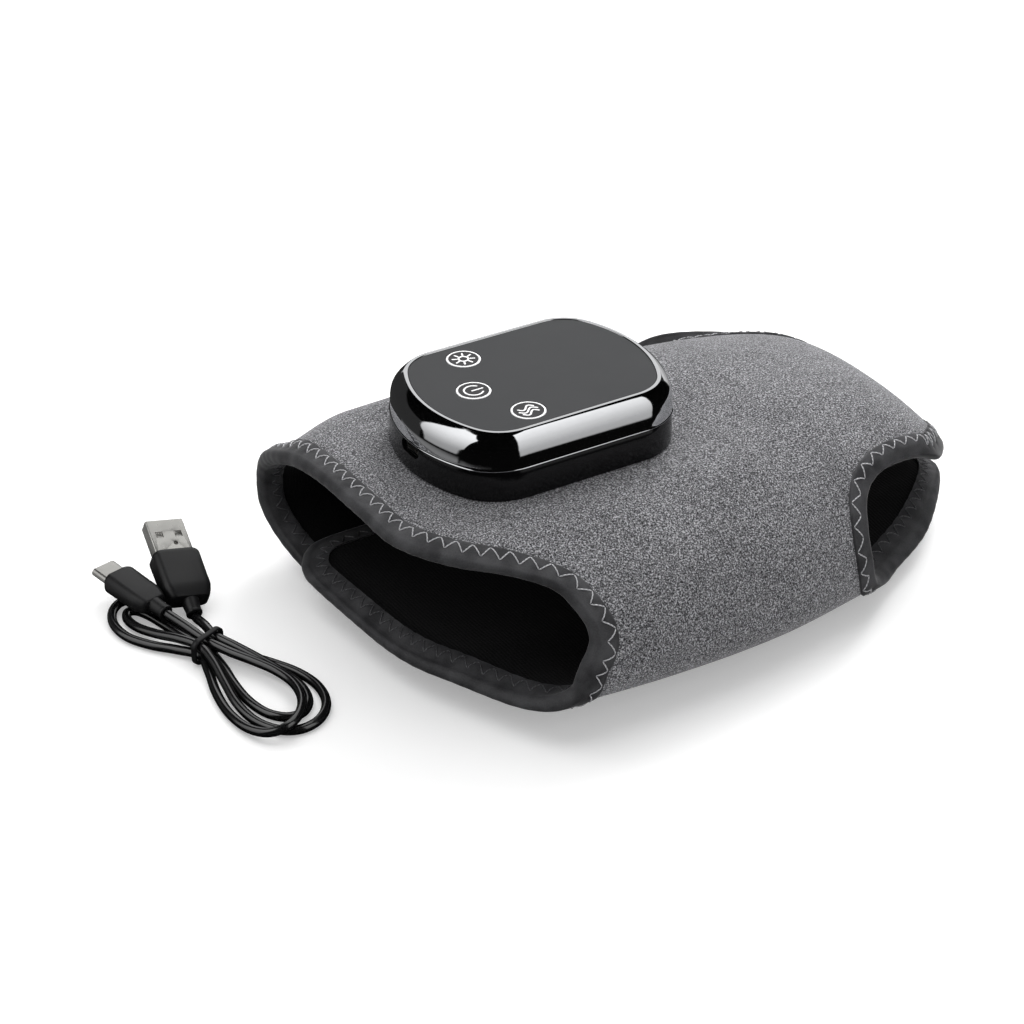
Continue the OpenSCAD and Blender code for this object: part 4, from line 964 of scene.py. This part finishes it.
# Puffs a grid of cloth with Blender's own cloth: pinned where the tape, the pod and the floor hold it, and blown from
# inside with gravity off. It gives back the height along the normals, between limits.
def puffHeights(points, pinned):
    rows, cols = points.shape[:2]
    piece = addMesh("Cloth_work", points.reshape(-1, 3), gridQuads(rows, cols, flip=True), looks["velour"], body=None)
    group = piece.vertex_groups.new(name="held")
    group.add([int(v) for v in np.flatnonzero(pinned.ravel())], 1.0, "REPLACE")
    cloth = piece.modifiers.new("Cloth", "CLOTH")
    settings = cloth.settings
    settings.quality = puffPlan["quality"]
    settings.mass = puffPlan["mass"]
    settings.tension_stiffness = settings.compression_stiffness = puffPlan["stiffness"]
    settings.bending_stiffness = puffPlan["bending"]
    settings.use_pressure = True
    settings.uniform_pressure_force = puffPlan["pressure"]
    settings.effector_weights.gravity = 0
    settings.vertex_group_mass = "held"
    cloth.point_cache.frame_start, cloth.point_cache.frame_end = 1, puffPlan["frames"]
    scene = bpy.context.scene
    for frameNumber in range(1, puffPlan["frames"] + 1):
        scene.frame_set(frameNumber)
    graph = bpy.context.evaluated_depsgraph_get()
    result = piece.evaluated_get(graph).to_mesh()
    moved, normal = np.zeros(rows * cols * 3), np.zeros(rows * cols * 3)
    result.vertices.foreach_get("co", moved)
    piece.data.vertices.foreach_get("normal", normal)
    bpy.data.objects.remove(piece)
    scene.frame_set(1)
    shift = moved.reshape(rows, cols, 3) / mm - points
    height = (shift * normal.reshape(rows, cols, 3)).sum(-1)
    return np.clip(height, *puffPlan["limits"])


# Grid values carried to a finer grid of the same strip by straight lines both ways.
def refine(values, rows, cols):
    r = np.linspace(0, values.shape[0] - 1, rows)
    c = np.linspace(0, values.shape[1] - 1, cols)
    i, j = np.minimum(r.astype(int), values.shape[0] - 2), np.minimum(c.astype(int), values.shape[1] - 2)
    u, v = (r - i)[:, None], (c - j)[None, :]
    return ((1 - u) * (1 - v) * values[np.ix_(i, j)] + u * (1 - v) * values[np.ix_(i + 1, j)]
            + (1 - u) * v * values[np.ix_(i, j + 1)] + u * v * values[np.ix_(i + 1, j + 1)])


# Each layer's cells, its grid's step in millimetres, the rows in a corner's fan, and how far inside the edge it ends.
layerPlan = {
    "Velour_face": {"cells": "all", "step": 1.9, "fan": 8, "inset": 3.0},
    "Lining": {"cells": "all", "step": 2.6, "fan": 6, "inset": 3.0},
    "Foam_core": {"cells": "rim", "step": 4.0, "fan": 4, "inset": 1.0},
    "Heating_pad": {"cells": "pad", "step": 4.0, "fan": 4, "inset": 6.0},
    "Hook_tape": {"cells": "patch", "step": 2.0, "fan": 6, "inset": 6.0},
}


# Adds one layer of the strip between two depths. Its map is the flat strip itself, in millimetres.
def addLayer(name, look, slot, node, outer, inner, puff=None):
    plan = layerPlan[name]
    q, lift, inside = stripGrid(plan["step"], plan["fan"], plan["inset"])
    rise = 0.0 if puff is None else refine(puff, *q.shape[:2])
    top, bottom = placeOn(q, outer - rise, lift, inside), placeOn(q, inner, lift, inside)
    points, faces = shellGrid(top, bottom, cellMask(q, plan["cells"]))
    flat = np.concatenate([q.reshape(-1, 2)] * 2)
    used, faces = np.unique(faces, return_inverse=True)
    piece = addMesh(name, points[used], faces.reshape(-1, 4), looks[look], root, uv=flat[used], angle=60)
    return standsFor(piece, slot, node)


# How high the velour puffs up over the coarse grid: 0 at the border, under the pod and on the floor.
def puffGrid():
    plan = puffPlan
    q, lift, inside = stripGrid(plan["step"], plan["fan"], plan["inset"])
    points = placeOn(q, 0.0, lift, inside)
    held = np.ones(q.shape[:2], bool)
    held[2:-2, 2:-2] = False
    reachX, reachY, above = plan["underPod"]
    held |= (np.abs(points[..., 0]) < reachX) & (np.abs(points[..., 1]) < reachY) & (points[..., 2] > above)
    held |= points[..., 2] < plan["grounded"]
    puff = puffHeights(points, held)
    puff[held] = 0
    print("cloth settled, highest puff", round(float(puff.max()), 2), "mm")
    return puff


# All layers of the strip, one under the other by their thicknesses.
def addWrap():
    v, f = wrapPlan["velour"], wrapPlan["velour"] + wrapPlan["foam"]
    velour = addLayer("Velour_face", "velour", "velour", "outer_fabric", 0.0, v, puffGrid())
    lining = addLayer("Lining", "lining", "mesh_lining", "lining", f, wrapDepth)
    foam = addLayer("Foam_core", "foam", "foam", "foam_core", v, f)
    pad = addLayer("Heating_pad", "heater", "heater", "heating_pad", v, f)
    addLayer("Hook_tape", "hook", "hook_tape", "hook_patch", wrapDepth, wrapDepth + wrapPlan["hook"])


# The strip's border once round as places at the edge and a unit step inwards, against length along it. Its marks are
# the middles of the flap's and the tail's ends.
def borderLoop():
    rows, share = stripRows(0.8, 14), np.linspace(0, 1, 120)[1:-1]
    count, around = len(share), {}
    for inset in (0.0, 1.0):
        front, rear = edgeAt(rows, False, inset), edgeAt(rows, True, inset)[::-1]
        flap = np.column_stack([np.full(count, lapHigh - inset), front[-1, 1] * (1 - share) + rear[0, 1] * share])
        tail = np.column_stack([np.full(count, lapLow + inset), rear[-1, 1] * (1 - share) + front[0, 1] * share])
        around[inset] = np.concatenate([front, flap, rear, tail, front[:1]])
    edge = around[0.0]
    length = np.concatenate([[0], np.cumsum(np.linalg.norm(np.diff(edge, axis=0), axis=1))])
    flapMark = len(rows["lap"]) + count // 2
    marks = {"flap": length[flapMark], "tail": length[flapMark + len(rows["lap"]) + count]}
    return {"length": length, "edge": edge, "inward": around[1.0] - edge, "marks": marks}


border = borderLoop()
borderLength = border["length"][-1]
# The zigzag's period and its two rows' distances from the edge; the thread's radius, how deep it plunges and how sharp
# it turns; the tape's pull and dip at a stitch, as depth and width, its swell between stitches, and the scallops of its
# rolled edge; and the thread's points a stitch and sides.
stitchPlan = {"period": 5.3, "near": 1.7, "far": 4.7, "thread": 0.2, "plunge": 0.25, "sharp": 0.985, "pull": 0.34,
              "dip": 0.8, "swell": 0.2, "scallop": 0.05, "perStitch": 14, "sides": 5}
stitchCount = int(round(borderLength / stitchPlan["period"]))


# A place on the strip by length round the border and inset from its edge.
def borderAt(s, inset):
    s, inset = np.broadcast_arrays(np.asarray(s, float), np.asarray(inset, float))
    wrapped = np.mod(s, borderLength)
    parts = [np.interp(wrapped, border["length"], border["edge"][:, k])
             + inset * np.interp(wrapped, border["length"], border["inward"][:, k]) for k in (0, 1)]
    return np.stack(parts, -1)


# Height of the tape over the cloth: it swells between the stitches and is pulled down where the thread goes in,
# at the far row when the phase is 0 and at the near row half a period on. Two slow waves make the swell uneven.
def tapeSwell(s, inset):
    phase = 2 * np.pi * stitchCount * s / borderLength
    far = np.exp(-((inset - stitchPlan["far"]) / stitchPlan["dip"]) ** 2) * (0.5 + 0.5 * np.cos(phase)) ** 3
    near = np.exp(-((inset - stitchPlan["near"]) / stitchPlan["dip"]) ** 2) * (0.5 - 0.5 * np.cos(phase)) ** 3
    crown = np.sin(np.pi * np.clip((inset + 0.2) / (wrapPlan["tapeWidth"] + 0.4), 0, 1))
    slow = 0.5 + 0.25 * np.sin(s / 5.3) + 0.25 * np.sin(s / 2.9 + 1.3)
    return stitchPlan["swell"] * crown * (0.6 + 0.6 * slow) - stitchPlan["pull"] * (far + near)


# The binding tape: a closed U section folded round the strip's edge and carried along the border. Each point of the
# section has its inset, its level through the layers and its height over them. Its roll is a half ellipse between the
# faces of the squeezed layers.
def addBinding(name, node, start, stop):
    t, w, d = wrapPlan["tapeThickness"], wrapPlan["tapeWidth"], wrapDepth
    s = np.linspace(start, stop, int((stop - start) / wrapPlan["tapeStep"]))[:, None]
    outer = np.linspace(w - 0.25, 0.0, 12)
    roll = np.radians(np.linspace(0, 180, 14))[1:-1]
    inner = np.linspace(0.0, w - 0.2, 8)
    inset = np.concatenate([[w], outer, -wrapPlan["tapeRoll"] * np.sin(roll), inner, [w, w, 3, 0, 0, 3, w]])
    level = np.concatenate([[0, 0], np.zeros(11), 0.5 - 0.5 * np.cos(roll), np.ones(8), [1, 1, 1, 1, 0, 0, 0]])
    over = np.concatenate([[-0.35 * t], np.full(12, -t), -(t + 0.1) * np.cos(roll), np.full(8, t),
                           [0.4 * t, 0, 0, 0, 0, 0, 0]])
    swell = np.zeros((len(s), len(inset)))
    swell[:, 1:13] = -tapeSwell(s, outer[None, :])
    swell[:, 25:33] = 0.8 * tapeSwell(s, inner[None, :])
    scallop = stitchPlan["scallop"] * np.cos(2 * np.pi * stitchCount * s / borderLength)
    q = borderAt(s, inset[None, :] - scallop * np.exp(-((inset + 1) / 1.6) ** 2))
    turn = turnAt(q[..., 0])
    depth = squeezed(level * d, turn, inset[None, :]) + over + swell
    points = wrapPoint(turn, q[..., 1], depth, wrapPlan["edgeLift"])
    points[..., 2] = np.maximum(points[..., 2], 0.0)
    n, m = points.shape[:2]
    girth = np.cumsum(np.hypot(np.diff(inset, prepend=inset[0]), np.diff(level * d + over, prepend=over[0])))
    uv = np.stack(np.broadcast_arrays(s, girth[None, :]), -1)
    faces = [gridQuads(n, m, closeCols=True), np.arange(m)[None, ::-1], np.arange(m)[None, :] + (n - 1) * m]
    piece = addMesh(name, points, faces, looks["binding"], root, uv=uv.reshape(-1, 2), angle=70, recalc=True)
    return standsFor(piece, "binding", node)


# The zigzag thread: a triangle wave between the two stitch rows, arcsin(k cos phase) / arcsin(k) with k just under 1,
# that plunges into the tape at its tips. The outer face has one, and the lining side has another whose darker colour is
# painted shade of the loop's dark inside.
def addThread(name, face):
    plan, count = stitchPlan, stitchCount * stitchPlan["perStitch"]
    s = np.arange(count) * borderLength / count
    phase = 2 * np.pi * stitchCount * s / borderLength
    wave = np.arcsin(plan["sharp"] * np.cos(phase)) / np.arcsin(plan["sharp"])
    middle, swing = (plan["far"] + plan["near"]) / 2, (plan["far"] - plan["near"]) / 2
    inset = middle + swing * wave
    rise = wrapPlan["tapeThickness"] + 0.5 * plan["thread"] + np.maximum(tapeSwell(s, inset), -plan["plunge"])
    rise = rise - plan["plunge"] * wave**8
    q = borderAt(s, inset)
    turn = turnAt(q[:, 0])
    outside = face == "outer"
    depth = -rise if outside else squeezed(wrapDepth, turn, inset) + rise
    path = wrapPoint(turn, q[:, 1], depth, wrapPlan["edgeLift"])
    path[:, 2] = np.maximum(path[:, 2], plan["thread"])
    below = wrapPoint(turn, q[:, 1], depth + (1.0 if outside else -1.0), wrapPlan["edgeLift"])
    points, faces, uv = tubeMesh(path, plan["thread"], plan["sides"], up=unit(path - below), closed=True)
    thread = addMesh(name, points, faces, looks["thread" if outside else "innerThreadShade"], root, uv=uv)
    return standsFor(thread, "binding")


addWrap()
print("cloth, foam and lining ready")
addBinding("Front_binding", "front_binding", border["marks"]["tail"] - borderLength, border["marks"]["flap"])
addBinding("Rear_binding", "rear_binding", border["marks"]["flap"], border["marks"]["tail"])
addThread("Zigzag_thread_outer", "outer")
addThread("Zigzag_thread_inner", "inner")
print("binding and stitches ready")


# The pod's plan outline, the heights of its parts, its keys, and how much its two ends swell.
podPlan = {
    "halfLength": 34.5, "halfWidth": 25.2, "endRadius": 40.5, "cornerRadius": 12.0, "panel": 75.0, "seat": 55.0,
    "ledge": 64.6, "shelf": 73.6, "keyRadius": 5.05, "keyGap": 0.15, "baseSwell": (1.3, 0.0),
    "bezelSwell": (1.5, 0.7),
}
keyPlaces = {"heat_key": (-12.3, 17.8), "power_key": (-19.5, 0.0), "massage_key": (-12.3, -17.8)}


# Plan outline of the pod as points and outward directions: bulged ends, round corners and straight sides.
# The outline grown by d is points + d x directions.
def podOutline():
    p = podPlan
    cx, cy = p["halfLength"] - p["endRadius"], p["halfWidth"] - p["cornerRadius"]
    dx = math.sqrt((p["endRadius"] - p["cornerRadius"]) ** 2 - cy**2)
    a0 = math.atan2(cy, dx)
    end = a0 * (np.arange(16) + 0.5) / 16
    corner = a0 + (np.pi / 2 - a0) * np.linspace(0, 1, 25)
    outEnd, outCorner = np.stack([np.cos(end), np.sin(end)], -1), np.stack([np.cos(corner), np.sin(corner)], -1)
    points = np.concatenate([[cx, 0] + p["endRadius"] * outEnd, [cx + dx, cy] + p["cornerRadius"] * outCorner])
    outs = np.concatenate([outEnd, outCorner])
    straight = np.linspace(cx + dx, -cx - dx, 14)[1:-1]
    sidePoints = np.column_stack([straight, np.full(12, p["halfWidth"])])
    sideOuts = np.tile([0.0, 1.0], (12, 1))
    flip = np.array([-1, 1])
    half = np.concatenate([points, sidePoints, points[::-1] * flip])
    halfOuts = np.concatenate([outs, sideOuts, outs[::-1] * flip])
    return np.concatenate([half, -half]), np.concatenate([halfOuts, -halfOuts])


outlinePoints, outlineOuts = podOutline()


# Rings of the pod's outline, from rows of [offset, height]. Towards the ends the wide part bulges a little more, by
# swell x (the outward direction's X) squared.
def podRings(section, swell=(0.0, 0.0)):
    ends = swell[0] * np.maximum(0, -outlineOuts[:, 0]) ** 2 + swell[1] * np.maximum(0, outlineOuts[:, 0]) ** 2
    rings = []
    for d, z in section:
        reach = d + ends * smooth(1.3, 4.2, d)
        rings.append(np.column_stack([outlinePoints + reach[:, None] * outlineOuts, np.full(len(outlinePoints), z)]))
    return rings


# A stadium bar along X: w wide in Y, h high, from x0 to x1, its middle at a height.
def stadiumBar(w, h, x0, x1, height):
    centre, out, r = roundedRect(w, h, h / 2 - 0.001, 12)
    flat = centre + r * out
    return loft([np.column_stack([np.full(len(flat), x), flat[:, 0], flat[:, 1] + height]) for x in (x0, x1)])


# The tray's section in [offset, height]: its foot over the seat, its wall, and its rim against the ledge. Its port is a
# width, a height, X from and to and its middle's height. The neck is a length, a width, a corner radius and Z from and
# to, with a slot for the lead. Each of the four posts is a profile with a pin on top.
basePlan = {
    "foot": [(4.3, 0), (4.62, 0.12), (4.88, 0.4), (5, 0.8)], "wall": [(5, 57), (4.96, 60), (4.85, 63)],
    "rim": [(4.75, -0.1), (4.6, 0), (2.9, 0)], "floor": (2.9, 57), "port": (9.34, 3.56, -43.0, -31.0, 62.4),
    "neck": (35, 25, 0.5, 50, 56), "slot": [[-19.6, -3.4], [-18.1, -3.4], [-18.1, 3.4], [-19.6, 3.4]],
    "slotFromTo": (50, 60), "posts": [(-24, -15), (-24, 15), (24, -15), (24, 15)],
    "post": [[2.2, 56.5], [2.2, 69.8], [1, 69.8], [1, 71.7], [0.8, 71.8]],
}


# The tray under the ring: its section carried round the pod's outline, with the port and the slot cut through it, and
# the neck and the posts inside it.
def addBase():
    plan = basePlan
    foot = [(d, podPlan["seat"] + z) for d, z in plan["foot"]]
    rim = [(d, podPlan["ledge"] + z) for d, z in plan["rim"]]
    points, faces = loft(podRings(foot + plan["wall"] + rim + [plan["floor"]], podPlan["baseSwell"]))
    base = addMesh("Pod_base", points, faces, looks["baseAbs"], recalc=True)
    solids = (stadiumBar(*plan["port"]), prism(plan["slot"], *plan["slotFromTo"]))
    carve(base, [cutterFrom(solid, "baseAbs") for solid in solids], 0.12)
    long, wide, radius, bottom, top = plan["neck"]
    centre, out, r = roundedRect(long, wide, radius, 4)
    inside = Batch()
    inside.add(*prism(centre + r * out, bottom, top))
    for place in plan["posts"]:
        inside.add(*lathe(plan["post"], place, 24))
    joined = inside.build("Pod_base_neck", looks["innerAbs"], angle=30, recalc=True)
    standsFor(base, "black_abs", "pod_base")
    standsFor(joined, "black_abs")


# The chrome ring's section in [offset, height]: a rounded foot line, a steep side that bends over in a smooth curve
# through its stations, a narrow lip and a shelf.
bezelPlan = {
    "foot": [(4.6, 64.6), (4.72, 64.62), (4.78, 64.7), (4.78, 64.8), (4.7, 64.9), (4.57, 64.98)],
    "sideOffsets": [4.55, 4.45, 4.3, 3.95, 3.25, 2.3, 1.5], "sideHeights": [65.1, 67.2, 69, 71, 72.8, 74.2, 75.0],
    "sideFromTo": (65.25, 74.9),
    "lip": [(1.3, 75.12), (1.05, 75.2), (0.78, 75.23), (0.5, 75.2), (0.32, 75.08), (0.25, 74.9)],
    "shelf": [(0.25, 73.6), (-1.2, 73.6), (-1.2, 72.6), (1.6, 71.4), (2.9, 66.5), (2.9, 64.6)],
}


# The ring: its section carried round the pod's outline and closed.
def addBezel():
    plan = bezelPlan
    heights = np.linspace(*plan["sideFromTo"], 30)
    offsets = curve(heights, plan["sideHeights"], plan["sideOffsets"])
    section = plan["foot"] + list(zip(offsets, heights)) + plan["lip"] + plan["shelf"]
    points, faces = loft(podRings(section, podPlan["bezelSwell"]), closed=True)
    ring = addMesh("Bezel_ring", points, faces, looks["chrome"], angle=38, recalc=True)
    standsFor(ring, "chrome", "bezel_ring")


# The panel that fills the ring, with a soft edge and a round hole for each key.
def addPanel():
    p = podPlan
    section = [(0.2, p["shelf"]), (0.2, p["panel"] - 0.12), (0.14, p["panel"] - 0.03), (0.02, p["panel"])]
    points, faces = loft(podRings(section))
    panel = addMesh("Top_panel", points, faces, looks["panel"], recalc=True)
    hole = [[p["keyRadius"] + p["keyGap"], 72.0], [p["keyRadius"] + p["keyGap"], 77.0]]
    carve(panel, [cutterFrom(lathe(hole, place, 96), "panel") for place in keyPlaces.values()], 0.05, angle=12)
    standsFor(panel, "panel", "top_panel")


# A stroke of given width round a centre line: its two sides offset square to it, and half circles at its ends.
def strokeOutline(line, width):
    line = np.asarray(line, float)
    ahead = unit(np.gradient(line, axis=0))
    square = np.stack([-ahead[:, 1], ahead[:, 0]], -1)
    out = square * width / 2
    cap = np.radians(np.linspace(-90, 90, 9))[1:-1, None]
    last = line[-1] + width / 2 * (np.cos(cap) * ahead[-1] + np.sin(cap) * square[-1])
    first = line[0] - width / 2 * (np.cos(cap) * ahead[0] + np.sin(cap) * square[0])
    return np.concatenate([line - out, last, (line + out)[::-1], first])


# Printed marks, in millimetres from a key's middle: the stroke's width and the ink's height; the heat mark's ring and
# rays from and to; the power mark's arc and its bar from and to; and the waves as [Y, half length], with their sway.
iconPlan = {"stroke": 0.54, "ink": 0.02, "ring": (1.15, 1.7), "rays": (2.05, 3.2), "arc": 2.75, "bar": (-0.5, 2.9),
            "waves": ((-1.5, 2.5), (0.0, 2.9), (1.5, 2.5)), "sway": 1.0}


# The printed marks are generic: eight rays round a ring, a power arc with its bar, and three waves, Y + sway x
# sin(pi x t) at t times the half length.
def iconLines(name):
    if name == "heat_key":
        rays = np.radians(np.arange(8) * 45 + 22.5)
        return [np.outer(iconPlan["rays"], [math.cos(a), math.sin(a)]) for a in rays]
    if name == "power_key":
        arc, bar = np.radians(np.linspace(42, 318, 48)), iconPlan["bar"]
        return [iconPlan["arc"] * np.stack([np.cos(arc), np.sin(arc)], -1), np.array([[bar[0], 0.0], [bar[1], 0.0]])]
    x = np.linspace(-1, 1, 40)
    return [np.stack([x * reach, y + iconPlan["sway"] * np.sin(np.pi * x)], -1) for y, reach in iconPlan["waves"]]


# A round key with a flange under the panel and a slightly dished face, and its printed ring and mark, which ride on
# it.
def addKeys():
    top, r, inkTop = podPlan["panel"], podPlan["keyRadius"], podPlan["panel"] + iconPlan["ink"]
    for name, place in keyPlaces.items():
        profile = [(r + 0.85, 72.8), (r + 0.85, 73.4), (r, 73.4), (r, top - 0.16), (r - 0.04, top - 0.08),
                   (r - 0.14, top), (r - 0.8, top - 0.01), (2.0, top - 0.03), (0.4, top - 0.03)]
        key = addMesh(name.capitalize(), *lathe(profile, place, 96), looks["key"], body=name, angle=35, recalc=True)
        standsFor(key, "key_black", name)
        ink = Batch()
        rim = [(r - 0.62, top - 0.1), (r - 0.62, inkTop), (r - 0.15, inkTop + 0.01), (r + 0.01, top - 0.12),
               (r - 0.1, top - 0.2)]
        ink.add(*lathe(rim, place, 96, closed=True))
        if name == "heat_key":
            inner, outer = iconPlan["ring"]
            ring = [(inner, top - 0.1), (inner, inkTop), (outer, inkTop), (outer, top - 0.1)]
            ink.add(*lathe(ring, place, 40, closed=True))
        for line in iconLines(name):
            ink.add(*prism(strokeOutline(line, iconPlan["stroke"]) + np.array(place), top - 0.1, inkTop))
        mark = ink.build(name.capitalize() + "_print", looks["print"], name, angle=30, recalc=True)
        standsFor(mark, "white_insert")


addBase()
addBezel()
addPanel()
addKeys()
print("pod ready")


# CAD nodes that stay as they are, each with the look of its material.
nodeLooks = {
    "mid_frame": "innerAbs", "circuit_board": "circuit", "charge_board": "circuit", "heat_switch": "steel",
    "power_switch": "steel", "massage_switch": "steel", "charge_socket": "plugSteel", "battery_cell": "cell",
    "heater_lead": "lead", "motor_can": "steel", "motor_cradle": "innerAbs", "motor_shaft": "steel",
    "eccentric_weight": "steel", "clamp_plate": "innerAbs", "clamp_screw_1": "steel", "clamp_screw_2": "steel",
    "clamp_screw_3": "steel", "clamp_screw_4": "steel", "usb_a_tongue": "insert", "usb_c_tongue": "innerAbs",
}
for name, look in nodeLooks.items():
    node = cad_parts[name]
    node.data.materials.clear()
    node.data.materials.append(looks[look])
